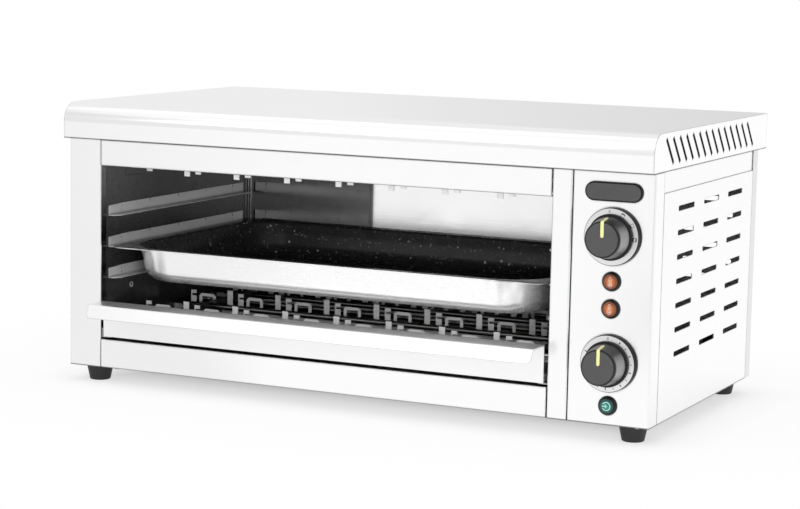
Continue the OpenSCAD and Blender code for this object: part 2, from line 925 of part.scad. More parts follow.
// One corner of the tray's bowl: a draughted side that rolls into the floor
module bowl_corner(r, h, inset) {
    steps = 6;
    fillet = tray_fillet - inset;
    rotate_extrude($fn = 32) polygon(concat(
        [[0, 0], [0, -h], [r - tray_draft - fillet, -h]],
        [for (i = [1 : steps]) let (a = 90 * i / steps)
            [r - tray_draft + fillet * (sin(a) - 1), -h + fillet * (1 - cos(a))]],
        [[r, 0]]));
}

// The bowl as a solid, drawn a wall's thickness smaller for the inside
module bowl(inset) {
    w = tray_w / 2 - rim_w - tray_corner;
    d = tray_d / 2 - rim_w - tray_corner;
    hull() {
        for (x = [-w, w], y = [-d, d]) {
            translate([x, y, 0]) bowl_corner(tray_corner - inset, tray_h - inset, inset);
        }
    }
}

module gn_tray() color(bright_steel) in_casing() {
    translate([mid_x, tray_front + tray_d / 2, rim_z]) difference() {
        union() {
            linear_extrude(rim_t) rounded(tray_w, tray_d, rim_corner);
            translate([0, 0, rim_t - 0.01]) bowl(0);
        }
        translate([0, 0, rim_t + 0.01]) bowl(tray_wall);
        translate([0, 0, rim_t]) linear_extrude(1) rounded(tray_w + 2, tray_d + 2, 1);
    }
}

// Section of the crumb tray's front face and grip lip: a flat, a bend and a flap down and outward
module lip_section(turn, tangent, length) {
    steps = 6;
    centre = [tangent - lip_flat, crumb_top - lip_bend_r];
    inner = lip_bend_r - sheet;
    down = -length * [cos(turn), sin(turn)];
    polygon(concat(
        [centre + inner * [-sin(turn), cos(turn)] + down],
        [for (i = [0 : steps]) let (a = turn * (1 - i / steps)) centre + inner * [-sin(a), cos(a)]],
        [[0, crumb_top - sheet], [0, crumb_z], [sheet, crumb_z], [sheet, crumb_top]],
        [for (i = [0 : steps]) let (a = turn * i / steps) centre + lip_bend_r * [-sin(a), cos(a)]],
        [centre + lip_bend_r * [-sin(turn), cos(turn)] + down]));
}

// What is cut away to round one lower corner of the flap
module flap_corner(r) {
    difference() {
        span([-1, -1], [r, r]);
        translate([r, r]) circle(r);
    }
}

module crumb_tray() color(steel) in_casing() {
    left = mid_x - crumb_w / 2;
    right = left + crumb_w;
    slope = lip_reach - lip_flat;
    turn = 90 - atan(slope / lip_drop);
    tangent = lip_bend_r * tan(turn / 2);
    full = norm([slope, lip_drop]);
    // Floor with low side walls
    along_y(sheet, crumb_back) translate([left, crumb_z]) {
        square([crumb_w, sheet]);
        square([sheet, crumb_rim]);
        translate([crumb_w - sheet, 0]) square([sheet, crumb_rim]);
    }
    along_x(left, right) span([crumb_back - sheet, crumb_z], [crumb_back, crumb_z + crumb_rim]);
    difference() {
        along_x(left, right) lip_section(turn, tangent, full - tangent);
        translate([mid_x, -lip_flat, crumb_top]) rotate([turn, 0, 0]) {
            for (side = [-1, 1]) {
                translate([side * crumb_w / 2, -full, -3]) scale([-side, 1, 1]) {
                    linear_extrude(6) flap_corner(6);
                }
            }
        }
    }
}

top_cover();
left_side_panel();
right_side_panel();
back_panel();
base_plate();
left_front_post();
middle_front_post();
top_fascia();
bottom_fascia();
control_panel();
cavity_left_wall();
cavity_right_wall();
cavity_back_wall();
upper_reflector();
left_rail_top();
left_rail_middle();
left_rail_bottom();
right_rail_top();
right_rail_middle();
right_rail_bottom();
crumb_tray_runners();
lower_comb_front();
lower_comb_middle();
lower_comb_rear();
upper_comb_front();
upper_comb_middle();
upper_comb_rear();
lower_cross_plates();
upper_cross_plates();
lower_element_front();
lower_element_middle();
lower_element_rear();
upper_element_front();
upper_element_middle();
upper_element_rear();
element_terminals();
selector_switch();
thermostat();
selector_dial();
thermostat_dial();
selector_knob();
selector_pointer();
selector_shaft();
thermostat_knob();
thermostat_pointer();
thermostat_shaft();
lamp_bezels();
upper_heat_lens();
lower_heat_lens();
power_lens();
blank_badge();
terminal_block();
cable_gland();
rubber_feet();
foot_screws();
casing_screws();
gn_tray();
crumb_tray();
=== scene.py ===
import math

import bmesh
import bpy
from mathutils import Matrix, Vector


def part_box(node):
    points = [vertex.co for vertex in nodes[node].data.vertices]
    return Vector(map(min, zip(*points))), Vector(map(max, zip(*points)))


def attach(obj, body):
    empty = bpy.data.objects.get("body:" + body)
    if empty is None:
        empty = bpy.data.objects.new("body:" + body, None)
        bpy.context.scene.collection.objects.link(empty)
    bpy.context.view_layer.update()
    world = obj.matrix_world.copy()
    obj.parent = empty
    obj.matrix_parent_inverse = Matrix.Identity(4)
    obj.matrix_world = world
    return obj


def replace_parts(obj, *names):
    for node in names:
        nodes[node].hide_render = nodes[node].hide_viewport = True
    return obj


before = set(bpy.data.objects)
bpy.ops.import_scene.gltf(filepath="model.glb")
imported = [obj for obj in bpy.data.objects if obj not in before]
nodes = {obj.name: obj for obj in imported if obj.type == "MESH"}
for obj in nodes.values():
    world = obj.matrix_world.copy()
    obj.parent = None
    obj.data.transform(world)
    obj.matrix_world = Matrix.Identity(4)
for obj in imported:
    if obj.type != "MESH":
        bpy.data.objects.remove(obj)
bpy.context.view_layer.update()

mm = 0.001

# The casing's lower left front corner. Places below are in millimetres from it, as in the part's source:
# x to the right, y to the rear and z up.
side_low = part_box("left_side_panel")[0]
corner = Vector((side_low.x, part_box("left_front_post")[0].y, side_low.z))


def at(x, y, z):
    return corner + Vector((x, y, z)) * mm


# ---- Making materials ---------------------------------------------------------------------


def wire(tree, source, target):
    if hasattr(source, "is_output"):
        tree.links.new(source, target)
    else:
        target.default_value = source


def maths(tree, operation, a, b=None, clamp=False):
    n = tree.nodes.new("ShaderNodeMath")
    n.operation = operation
    n.use_clamp = clamp
    wire(tree, a, n.inputs[0])
    if b is not None:
        wire(tree, b, n.inputs[1])
    return n.outputs[0]


def product(tree, first, *others):
    for other in others:
        first = maths(tree, "MULTIPLY", first, other)
    return first


def within(tree, value, middle, half):
    """1 where the value is less than half away from the middle."""
    return maths(tree, "LESS_THAN", maths(tree, "ABSOLUTE", maths(tree, "SUBTRACT", value, middle)), half)


def vector_maths(tree, operation, a, b=None):
    n = tree.nodes.new("ShaderNodeVectorMath")
    n.operation = operation
    wire(tree, a, n.inputs[0])
    if b is not None:
        wire(tree, b, n.inputs[1])
    return n.outputs["Value" if operation in ("LENGTH", "DOT_PRODUCT") else "Vector"]


def xyz(tree, vector):
    n = tree.nodes.new("ShaderNodeSeparateXYZ")
    wire(tree, vector, n.inputs[0])
    return tuple(n.outputs)


def from_axis(tree, place):
    """How far a place is from the piece's own Z."""
    return vector_maths(tree, "LENGTH", vector_maths(tree, "MULTIPLY", place, (1.0, 1.0, 0.0)))


def facing(tree, kind="True Normal"):
    """The x, y and z of the way that the surface faces."""
    return xyz(tree, tree.nodes.new("ShaderNodeNewGeometry").outputs[kind])


def remap(tree, value, low, high, out_low, out_high):
    n = tree.nodes.new("ShaderNodeMapRange")
    wire(tree, value, n.inputs["Value"])
    for name, v in (("From Min", low), ("From Max", high), ("To Min", out_low), ("To Max", out_high)):
        wire(tree, v, n.inputs[name])
    return n.outputs["Result"]


def blend_colours(tree, factor, a, b):
    n = tree.nodes.new("ShaderNodeMix")
    n.data_type = "RGBA"
    wire(tree, factor, n.inputs[0])
    wire(tree, a, n.inputs[6])
    wire(tree, b, n.inputs[7])
    return n.outputs[2]


def noise(tree, place, scale, detail=3.0, roughness=0.5):
    n = tree.nodes.new("ShaderNodeTexNoise")
    wire(tree, place, n.inputs["Vector"])
    wire(tree, scale, n.inputs["Scale"])
    n.inputs["Detail"].default_value = detail
    n.inputs["Roughness"].default_value = roughness
    return n.outputs[0]


def effect(name, inputs, outputs):
    """An empty node group from its inputs' values and its outputs' kinds, and its two end nodes."""
    g = bpy.data.node_groups.new(name, "ShaderNodeTree")
    for label, value in inputs.items():
        kind = "NodeSocketVector" if isinstance(value, tuple) else "NodeSocketFloat"
        g.interface.new_socket(label, in_out="INPUT", socket_type=kind).default_value = value
    for label, kind in outputs.items():
        g.interface.new_socket(label, in_out="OUTPUT", socket_type=kind)
    return g, g.nodes.new("NodeGroupInput"), g.nodes.new("NodeGroupOutput")


def make_rolled_grain():
    """Fine parallel grain of rolled or brushed sheet, and the slow clouds in its sheen."""
    g, i, o = effect(
        "rolled_grain",
        {"Place": (0, 0, 0), "Across": (20, 20, 2500), "Clouds": 7.0},
        {"Grain": "NodeSocketFloat", "Cloud": "NodeSocketFloat"},
    )
    drawn = vector_maths(g, "MULTIPLY", i.outputs["Place"], i.outputs["Across"])
    wire(g, noise(g, drawn, 1.0, 4.0, 0.65), o.inputs["Grain"])
    wire(g, noise(g, i.outputs["Place"], i.outputs["Clouds"], 2.0), o.inputs["Cloud"])
    return g


def make_handling_marks():
    """Short hair scratches in two directions, as handled metal has."""
    g, i, o = effect("handling_marks", {"Place": (0, 0, 0), "Amount": 0.3}, {"Mark": "NodeSocketFloat"})
    lines = []
    for turn, size in (((0.5, 0.3, 0.9), (900, 60, 60)), ((1.9, 1.1, 0.2), (60, 900, 60))):
        m = g.nodes.new("ShaderNodeMapping")
        m.inputs["Rotation"].default_value = turn
        m.inputs["Scale"].default_value = size
        wire(g, i.outputs["Place"], m.inputs["Vector"])
        lines.append(remap(g, noise(g, m.outputs[0], 1.0, 1.0), 0.68, 0.74, 0.0, 1.0))
    wire(g, maths(g, "MULTIPLY", maths(g, "MAXIMUM", *lines), i.outputs["Amount"]), o.inputs["Mark"])
    return g


def make_soft_edges():
    """Rounds the shading over an edge, and gives masks of where the edges and the narrow gaps are."""
    g, i, o = effect(
        "soft_edges",
        {"Reach": 0.0007, "Depth": 0.004},
        {"Edge": "NodeSocketFloat", "Normal": "NodeSocketVector", "Gap": "NodeSocketFloat"},
    )
    b = g.nodes.new("ShaderNodeBevel")
    b.samples = 4
    wire(g, i.outputs["Reach"], b.inputs["Radius"])
    # The gap mask is ambient occlusion; the materials use it to paint shade into narrow gaps.
    shut = g.nodes.new("ShaderNodeAmbientOcclusion")
    shut.samples = 6
    wire(g, i.outputs["Depth"], shut.inputs["Distance"])
    wire(g, remap(g, shut.outputs["AO"], 0.3, 0.75, 1.0, 0.0), o.inputs["Gap"])
    flat = g.nodes.new("ShaderNodeNewGeometry").outputs["Normal"]
    wire(g, remap(g, vector_maths(g, "DOT_PRODUCT", b.outputs[0], flat), 0.99, 0.8, 0.0, 1.0), o.inputs["Edge"])
    wire(g, b.outputs[0], o.inputs["Normal"])
    return g


def make_moulded_skin():
    """Fine pebbled skin of a moulded part, with a slow drift in its sheen."""
    g, i, o = effect(
        "moulded_skin",
        {"Place": (0, 0, 0), "Grit": 2600.0},
        {"Pebble": "NodeSocketFloat", "Drift": "NodeSocketFloat"},
    )
    wire(g, noise(g, i.outputs["Place"], i.outputs["Grit"], 2.0), o.inputs["Pebble"])
    wire(g, noise(g, i.outputs["Place"], 60.0, 2.0), o.inputs["Drift"])
    return g


rolled_grain = make_rolled_grain()
handling_marks = make_handling_marks()
soft_edges = make_soft_edges()
moulded_skin = make_moulded_skin()


def start(name, **fixed):
    """A material with its shader and its place on the object; fixed are the shader's constants."""
    m = bpy.data.materials.new(name)
    m.use_nodes = True
    t = m.node_tree
    t.nodes.clear()
    out = t.nodes.new("ShaderNodeOutputMaterial")
    shader = t.nodes.new("ShaderNodeBsdfPrincipled")
    t.links.new(shader.outputs[0], out.inputs[0])
    for key, value in fixed.items():
        shader.inputs[key.replace("_", " ")].default_value = value
    place = t.nodes.new("ShaderNodeTexCoord").outputs["Object"]
    return m, t, shader, place


def use(tree, group, **inputs):
    n = tree.nodes.new("ShaderNodeGroup")
    n.node_tree = group
    for key, value in inputs.items():
        wire(tree, value, n.inputs[key])
    return n.outputs


def grey(v, tint=(1.0, 1.0, 1.0)):
    return (v * tint[0], v * tint[1], v * tint[2], 1.0)


def bump(tree, height, strength, distance, normal=None):
    b = tree.nodes.new("ShaderNodeBump")
    b.inputs["Strength"].default_value = strength
    b.inputs["Distance"].default_value = distance
    wire(tree, height, b.inputs["Height"])
    if normal is not None:
        wire(tree, normal, b.inputs["Normal"])
    return b.outputs[0]


# How much lighter an unfolded sheet's edges are painted (a painted highlight), the share of its tone left in a gap
# (painted shade), and the tone of the painted shade that shade masks lay on
edge_lift, gap_shade_share, painted_shade_tone = 0.05, 0.06, 0.03


def steel(
    name, tone, rough, across, depth=0.00001, spread=0.05, marks=0.15, clouds=6.0, tint=(1.0, 1.0, 1.0),
    brushed=0.0, fold=0.0, reach=0.0007, metal=1.0, shade=None, lean=None, waves=0.0,
):
    """Stainless sheet: grain runs where across is small, and the clouds change its tone and sheen.

    Where brushed is over 0, reflections are drawn out across the grain. Folds and cut edges get painted shade,
    darker by fold, or a painted highlight, lighter, where fold is 0. Narrow gaps and what shade masks get painted
    shade.
    lean tips a sheet out of square, and waves is the height of its slow dents.
    """
    m, t, shader, place = start(name, Metallic=metal, Anisotropic=brushed)
    if brushed > 0.0:
        lay = t.nodes.new("ShaderNodeTangent")
        lay.direction_type = "RADIAL"
        lay.axis = "X" if across[0] < across[1] else "Y"
        wire(t, lay.outputs[0], shader.inputs["Tangent"])
    g = use(t, rolled_grain, Place=place, Across=across, Clouds=clouds)
    edges = use(t, soft_edges, Reach=reach)
    scratch = use(t, handling_marks, Place=place, Amount=marks)["Mark"]
    mottle = maths(t, "ADD", maths(t, "MULTIPLY", g["Grain"], 0.5), maths(t, "MULTIPLY", g["Cloud"], 0.5))
    base = blend_colours(t, remap(t, mottle, 0.35, 0.65, 0.0, 1.0), grey(tone - spread, tint), grey(tone, tint))
    # Folds and cut edges: painted shade where fold is over 0, otherwise a painted highlight that lightens them
    if fold > 0.0:
        at_edge, edge_share = grey(tone * (1.0 - fold), tint), 1.0
    else:
        at_edge, edge_share = grey(min(1.0, tone + edge_lift), tint), 0.5
    painted_edge_tone = blend_colours(t, maths(t, "MULTIPLY", edges["Edge"], edge_share), base, at_edge)
    # Painted shade in narrow gaps: the occlusion mask darkens the colour there
    shown = blend_colours(t, edges["Gap"], painted_edge_tone, grey(gap_shade_share * tone, tint))
    if shade:
        # Painted shade: where the shade mask is set, the colour goes towards a near-black tone
        shown = blend_colours(t, shade(t, place), shown, grey(painted_shade_tone))
    wire(t, shown, shader.inputs["Base Color"])
    sheen = remap(t, mottle, 0.3, 0.7, rough - 0.04, rough + 0.05)
    wire(t, maths(t, "ADD", sheen, maths(t, "MULTIPLY", scratch, 0.2)), shader.inputs["Roughness"])
    relief = bump(t, g["Grain"], 0.35, depth, edges["Normal"])
    if waves > 0.0:
        relief = bump(t, g["Cloud"], 1.0, waves, relief)
    wire(t, vector_maths(t, "ADD", relief, lean) if lean else relief, shader.inputs["Normal"])
    return m


def moulding(name, colour, rough, grit=2600.0, depth=0.00002, gloss=0.5, painted_edge_tone=0.06):
    """Moulded plastic or rubber with a fine skin; its edges are painted a little lighter, a painted highlight."""
    m, t, shader, place = start(name, Metallic=0.0, Specular_IOR_Level=gloss)
    skin = use(t, moulded_skin, Place=place, Grit=grit)
    edges = use(t, soft_edges)
    dull = blend_colours(t, skin["Drift"], tuple(0.85 * c for c in colour) + (1.0,), tuple(colour) + (1.0,))
    # Painted highlight: the edges' colour is lifted by this amount
    light = tuple(min(1.0, c + painted_edge_tone) for c in colour) + (1.0,)
    wire(t, blend_colours(t, edges["Edge"], dull, light), shader.inputs["Base Color"])
    wire(t, remap(t, skin["Drift"], 0.3, 0.7, rough - 0.05, rough + 0.05), shader.inputs["Roughness"])
    wire(t, bump(t, skin["Pebble"], 0.4, depth, edges["Normal"]), shader.inputs["Normal"])
    return m


along_x, along_y = (12, 900, 2600), (2600, 12, 2600)
cover_low, cover_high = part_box("top_cover")


def hem_and_flange_shade(t, place):
    """Painted shade: the darkened lower edge of the casing's sheets, and the left post's flange inside the mouth
    painted dark.
    """
    x, y, z = xyz(t, place)
    hem = remap(t, z, corner.z + 0.0006, corner.z + 0.0016, 0.7, 0.0)
    inward = product(t, maths(t, "GREATER_THAN", facing(t)[0], 0.5), maths(t, "LESS_THAN", x, corner.x + 0.1))
    flange = maths(t, "MULTIPLY", inward, remap(t, y, corner.y + 0.0015, corner.y + 0.0025, 0.0, 0.9))
    return maths(t, "MAXIMUM", hem, flange)


def slot_shade_mask(t, y, z):
    """The cover's slanted slots with a painted dark margin round each, painted shade, from where the first one starts.
    """
    first_y, first_z, pitch, length, half_width, last = 0.0255, 0.2925, 0.272 / 13, 0.0312, 0.0026, 13
    slope = math.atan2(25.6, 22.7)
    y, z = maths(t, "SUBTRACT", y, corner.y + first_y), maths(t, "SUBTRACT", z, corner.z + first_z)
    apart, shift = pitch * math.sin(slope), pitch * math.cos(slope)

    def along(a, b):
        return maths(t, "ADD", maths(t, "MULTIPLY", y, a), maths(t, "MULTIPLY", z, b))

    count = maths(t, "DIVIDE", along(math.sin(slope), math.cos(slope)), apart)
    nearest = maths(t, "ROUND", count)
    off = maths(t, "ABSOLUTE", maths(t, "MULTIPLY", maths(t, "SUBTRACT", count, nearest), apart))
    run = maths(t, "SUBTRACT", along(math.cos(slope), -math.sin(slope)), maths(t, "MULTIPLY", nearest, shift))
    in_length = within(t, run, length / 2, length / 2 + half_width * 0.9)
    in_row = within(t, nearest, last / 2, last / 2 + 0.2)
    return product(t, maths(t, "LESS_THAN", off, half_width), in_length, in_row)


def cover_hem_and_slot_shade(t, place):
    """Where shade is painted on the cover: its lower hem, and in its ends the slots with their cut walls."""
    x, y, z = xyz(t, place)
    hem = remap(t, z, cover_low.z + 0.0006, cover_low.z + 0.0015, 0.85, 0.0)
    at_end = maths(t, "GREATER_THAN", maths(t, "ABSOLUTE", x), cover_high.x - 0.0012)
    cut = maths(t, "LESS_THAN", maths(t, "ABSOLUTE", facing(t)[0]), 0.5)
    in_height = within(t, z, (cover_low.z + cover_high.z) / 2, 0.016)
    slot_wall = product(t, at_end, cut, in_height, within(t, y, 0.008, 0.17))
    slots = maths(t, "MULTIPLY", at_end, slot_shade_mask(t, y, z))
    return maths(t, "MAXIMUM", hem, maths(t, "MAXIMUM", slot_wall, slots))


def shaded_tray_floor(t, place):
    """Painted shade on the crumb tray's floor under the elements; its lip stays bright."""
    return remap(t, xyz(t, place)[1], corner.y + 0.022, corner.y + 0.045, 0.0, 0.9)


def painted_dark_side(t, place):
    """The back wall's left part is painted dark up to a crisp edge, a painted dark reflection."""
    return remap(t, xyz(t, place)[0], corner.x + 0.2165, corner.x + 0.2180, 0.60, 0.0)


def corner_streaks_and_end_shade(t, place):
    """Painted reflection: darker upright streaks at the tray's corners, and painted shade on its ends between them."""
    low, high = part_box("gn_tray")
    middle, half = (low + high) / 2, (high - low) / 2
    off = [maths(t, "ABSOLUTE", maths(t, "SUBTRACT", v, m)) for v, m in zip(xyz(t, place)[:2], middle)]
    near = [remap(t, v, h - 0.072, h - 0.054, 0.0, 1.0) for v, h in zip(off, half)]
    streaks = noise(t, vector_maths(t, "MULTIPLY", place, (48.0, 48.0, 9.0)), 1.0, 1.0)
    corners = product(t, *near, remap(t, streaks, 0.40, 0.62, 0.0, 0.55))
    return maths(t, "MAXIMUM", corners, remap(t, off[0], half.x - 0.034, half.x - 0.014, 0.0, 0.55))


cover_steel = steel(
    "cover_steel", 1.0, 0.15, along_x, depth=0.000004, spread=0.01, clouds=4.0, fold=0.7, reach=0.0014,
    shade=cover_hem_and_slot_shade,
)
front_steel = steel(
    "front_steel", 0.995, 0.18, along_x, spread=0.015, brushed=0.5, fold=0.7, reach=0.0022, shade=hem_and_flange_shade
)
side_steel = steel(
    "side_steel", 0.99, 0.24, along_y, spread=0.02, brushed=0.5, fold=0.6, reach=0.0012, shade=hem_and_flange_shade
)
lip_steel = steel(
    "lip_steel", 0.97, 0.30, along_x, spread=0.03, brushed=0.2, fold=0.4, reach=0.001, metal=0.85,
    shade=shaded_tray_floor,
)
inner_steel = steel("inner_steel", 0.55, 0.36, along_y, spread=0.06, marks=0.3)
back_steel = steel("back_steel", 0.86, 0.34, along_x, spread=0.06)
base_steel = steel("base_steel", 0.62, 0.42, along_x, spread=0.1, marks=0.3)
# Painted shade: a very dark steel tone for the cavity's left wall, its cross plates and tabs, standing in for the shade
# and dark reflections there
left_wall_shade_steel = steel(
    "left_wall_shade_steel", 0.12, 0.24, along_y, spread=0.04, marks=0.25, clouds=14.0, brushed=0.5, metal=0.8
)
wall_steel = steel(
    "wall_steel", 1.0, 0.075, along_x, depth=0.000002, spread=0.01, marks=0.06, clouds=14.0, brushed=0.95,
    shade=painted_dark_side, lean=(-0.014, 0.0, 0.060),
)
reflector_steel = steel(
    "reflector_steel", 0.6, 0.2, along_x, spread=0.12, marks=0.3, clouds=14.0, tint=(1.0, 0.97, 0.92)
)
rail_steel = steel("rail_steel", 0.74, 0.42, along_y, spread=0.08, marks=0.3, clouds=30.0, metal=0.35)
comb_steel = steel("comb_steel", 0.98, 0.26, along_x, spread=0.12, marks=0.4, clouds=40.0, metal=0.15)
tube_steel = steel(
    "tube_steel", 0.42, 0.13, along_x, spread=0.14, marks=0.3, clouds=35.0, tint=(1.0, 0.98, 0.95)
)
tray_steel = steel(
    "tray_steel", 0.99, 0.26, along_x, spread=0.01, marks=0.1, clouds=18.0, depth=0.000004, metal=0.75,
    shade=corner_streaks_and_end_shade, waves=0.0006,
)
plated_steel = steel("plated_steel", 0.8, 0.2, (400, 400, 400), spread=0.1, tint=(1.0, 0.99, 0.95))


def coated_inside():
    """Dark non-stick coat: a soft orange-peel skin with pale specks of three sizes."""
    m, t, shader, place = start("speckled_coat", Metallic=0.0)
    specks = 0.0
    for scale, size, share, value in ((170.0, 0.16, 0.60, 0.42), (330.0, 0.22, 0.62, 0.22), (90.0, 0.10, 0.55, 0.7)):
        v = t.nodes.new("ShaderNodeTexVoronoi")
        v.inputs["Scale"].default_value = scale
        wire(t, place, v.inputs["Vector"])
        drawn = t.nodes.new("ShaderNodeSeparateColor")
        wire(t, v.outputs["Color"], drawn.inputs[0])
        near = maths(t, "LESS_THAN", v.outputs["Distance"], maths(t, "MULTIPLY", drawn.outputs[1], size * 1.6))
        chosen = maths(t, "GREATER_THAN", drawn.outputs[0], share)
        specks = maths(t, "MAXIMUM", specks, product(t, near, chosen, value))
    skin = use(t, moulded_skin, Place=place, Grit=900.0)
    coat = blend_colours(t, skin["Drift"], grey(0.016), grey(0.030))
    wire(t, blend_colours(t, specks, coat, grey(0.75)), shader.inputs["Base Color"])
    wire(t, remap(t, skin["Drift"], 0.3, 0.7, 0.22, 0.32), shader.inputs["Roughness"])
    wire(t, bump(t, skin["Pebble"], 0.5, 0.00006), shader.inputs["Normal"])
    return m


def knob_plastic():
    """Knob: a grey satin cap inside a black rim, a glossier grip below it, and a black skirt; the grip's gloss is a
    painted highlight, set only where it faces right.
    """
    m, t, shader, place = start(
        "knob_black", Metallic=0.0, Specular_IOR_Level=0.3, Coat_Roughness=0.10, Coat_IOR=3.2
    )
    skin = use(t, moulded_skin, Place=place, Grit=2600.0)
    z = xyz(t, place)[2]
    in_rim = remap(t, from_axis(t, place), 0.0168, 0.0172, 1.0, 0.0)
    on_cap = maths(t, "MULTIPLY", in_rim, remap(t, z, 0.0312, 0.0316, 0.0, 1.0))
    on_skirt = remap(t, z, 0.0120, 0.0124, 1.0, 0.0)
    sides = blend_colours(t, on_skirt, grey(0.010), grey(0.005))
    cap = blend_colours(t, skin["Drift"], grey(0.062), grey(0.076))
    wire(t, blend_colours(t, on_cap, sides, cap), shader.inputs["Base Color"])
    on_grip = maths(t, "SUBTRACT", remap(t, z, 0.0285, 0.0300, 1.0, 0.0), on_skirt, True)
    # Painted highlight: the grip gets its coat only where it faces right in the world, so a bright band stays on that
    # side
    highlight_side = remap(t, facing(t, "Normal")[0], 0.72, 0.95, 0.03, 1.0)
    wire(t, maths(t, "MULTIPLY", on_grip, highlight_side), shader.inputs["Coat Weight"])
    satin = maths(t, "MULTIPLY", maths(t, "MAXIMUM", on_cap, on_skirt), 0.16)
    wire(t, maths(t, "ADD", remap(t, skin["Drift"], 0.3, 0.7, 0.26, 0.32), satin), shader.inputs["Roughness"])
    wire(t, bump(t, skin["Pebble"], 0.4, 0.000012), shader.inputs["Normal"])
    return m


def spun_disc(name, tone, rough):
    """Turned metal face: grain in circles about the piece's own middle, in its own X-Y plane."""
    m, t, shader, place = start(name, Metallic=1.0)
    rings = t.nodes.new("ShaderNodeTexNoise")
    rings.noise_dimensions = "1D"
    wire(t, from_axis(t, place), rings.inputs["W"])
    rings.inputs["Scale"].default_value = 4200.0
    rings.inputs["Detail"].default_value = 3.0
    drift = noise(t, place, 70.0, 2.0)
    mottle = maths(t, "ADD", maths(t, "MULTIPLY", rings.outputs[0], 0.6), maths(t, "MULTIPLY", drift, 0.4))
    wire(t, blend_colours(t, mottle, grey(tone - 0.12), grey(tone)), shader.inputs["Base Color"])
    wire(t, remap(t, mottle, 0.3, 0.7, rough - 0.05, rough + 0.05), shader.inputs["Roughness"])
    wire(t, bump(t, rings.outputs[0], 0.3, 0.00001), shader.inputs["Normal"])
    return m


def lens_tint(name, deep, pale):
    """Tinted lens: deep at its rim and painted paler in its middle, painted light from the lamp behind it, in the
    piece's own X-Y plane.
    """
    m, t, shader, place = start(name, Metallic=0.0, Coat_Weight=0.25, Coat_Roughness=0.1)
    wave = noise(t, place, 260.0, 2.0)
    # Painted light: the lens is paler towards its middle, as if lit by the lamp behind it
    ring = remap(t, from_axis(t, place), 0.002, 0.0066, 0.0, 1.0)
    depth = maths(t, "ADD", ring, maths(t, "MULTIPLY", wave, 0.25), True)
    wire(t, blend_colours(t, depth, pale + (1.0,), deep + (1.0,)), shader.inputs["Base Color"])
    wire(t, remap(t, wave, 0.3, 0.7, 0.16, 0.26), shader.inputs["Roughness"])
    wire(t, bump(t, wave, 0.2, 0.00003), shader.inputs["Normal"])
    return m


speckled_coat = coated_inside()
dial_silver = spun_disc("dial_silver", 0.90, 0.34)
knob_black = knob_plastic()
amber_glass = lens_tint("amber_glass", (0.19, 0.045, 0.012), (0.62, 0.20, 0.05))
green_glass = lens_tint("green_glass", (0.004, 0.055, 0.048), (0.02, 0.27, 0.20))
dial_black = moulding("dial_black", (0.010, 0.010, 0.011), 0.45, gloss=0.15, painted_edge_tone=0.01)
bezel_black = moulding("bezel_black", (0.010, 0.010, 0.011), 0.30, gloss=0.25, depth=0.000006, painted_edge_tone=0.02)
badge_rim_black = moulding("badge_rim_black", (0.008, 0.008, 0.009), 0.40, gloss=0.15, depth=0.000006, painted_edge_tone=0.01)
badge_face_grey = moulding("badge_face_grey", (0.074, 0.074, 0.075), 0.40, gloss=0.3, depth=0.000008, painted_edge_tone=0.02)
foot_rubber = moulding("foot_rubber", (0.026, 0.026, 0.026), 0.55, grit=1500.0, gloss=0.35, depth=0.00005, painted_edge_tone=0.02)
gland_nylon = moulding("gland_nylon", (0.03, 0.03, 0.032), 0.42, painted_edge_tone=0.03)
switch_cream = moulding("switch_cream", (0.74, 0.71, 0.62), 0.4, painted_edge_tone=0.05)
bead_ceramic = moulding("bead_ceramic", (0.82, 0.80, 0.74), 0.55, grit=1800.0, depth=0.00004, painted_edge_tone=0.03)
pointer_lime = moulding("pointer_lime", (0.76, 0.78, 0.33), 0.35, depth=0.000006, painted_edge_tone=0.04)
# Painted shade: a near-black finish for the sheets behind the cover's slots
slot_shade_black = moulding("slot_shade_black", (0.006, 0.006, 0.006), 0.7, gloss=0.05, painted_edge_tone=0.0)
print_black = moulding("print_black", (0.012, 0.012, 0.012), 0.6, gloss=0.1, depth=0.000004, painted_edge_tone=0.0)
print_amber = moulding("print_amber", (0.90, 0.66, 0.56), 0.35, depth=0.000004, painted_edge_tone=0.0)
print_mint = moulding("print_mint", (0.60, 0.95, 0.88), 0.35, depth=0.000004, painted_edge_tone=0.0)

packs, rows = ("lower", "upper"), ("front", "middle", "rear")
rails = [f"{side}_rail_{level}" for side in ("left", "right") for level in ("top", "middle", "bottom")]
finishes = {
    cover_steel: ["top_cover"],
    front_steel: ["left_front_post", "middle_front_post", "top_fascia", "bottom_fascia", "control_panel"],
    lip_steel: ["crumb_tray"],
    side_steel: ["left_side_panel", "right_side_panel"],
    back_steel: ["back_panel"],
    base_steel: ["base_plate"],
    left_wall_shade_steel: ["cavity_left_wall", "lower_cross_plates", "upper_cross_plates"],
    wall_steel: ["cavity_back_wall"],
    inner_steel: ["cavity_right_wall"],
    reflector_steel: ["upper_reflector"],
    rail_steel: ["crumb_tray_runners"] + rails,
    comb_steel: [f"{pack}_comb_{row}" for pack in packs for row in rows],
    tube_steel: [f"{pack}_element_{row}" for pack in packs for row in rows],
    plated_steel: ["thermostat", "foot_screws", "casing_screws", "selector_shaft", "thermostat_shaft"],
    dial_black: ["selector_dial", "thermostat_dial"],
    knob_black: ["selector_knob", "thermostat_knob"],
    pointer_lime: ["selector_pointer", "thermostat_pointer"],
    bezel_black: ["lamp_bezels"],
    amber_glass: ["upper_heat_lens", "lower_heat_lens"],
    green_glass: ["power_lens"],
    badge_rim_black: ["blank_badge"],
    bead_ceramic: ["element_terminals"],
    switch_cream: ["selector_switch", "terminal_block"],
    gland_nylon: ["cable_gland"],
    foot_rubber: ["rubber_feet"],
    tray_steel: ["gn_tray"],
}
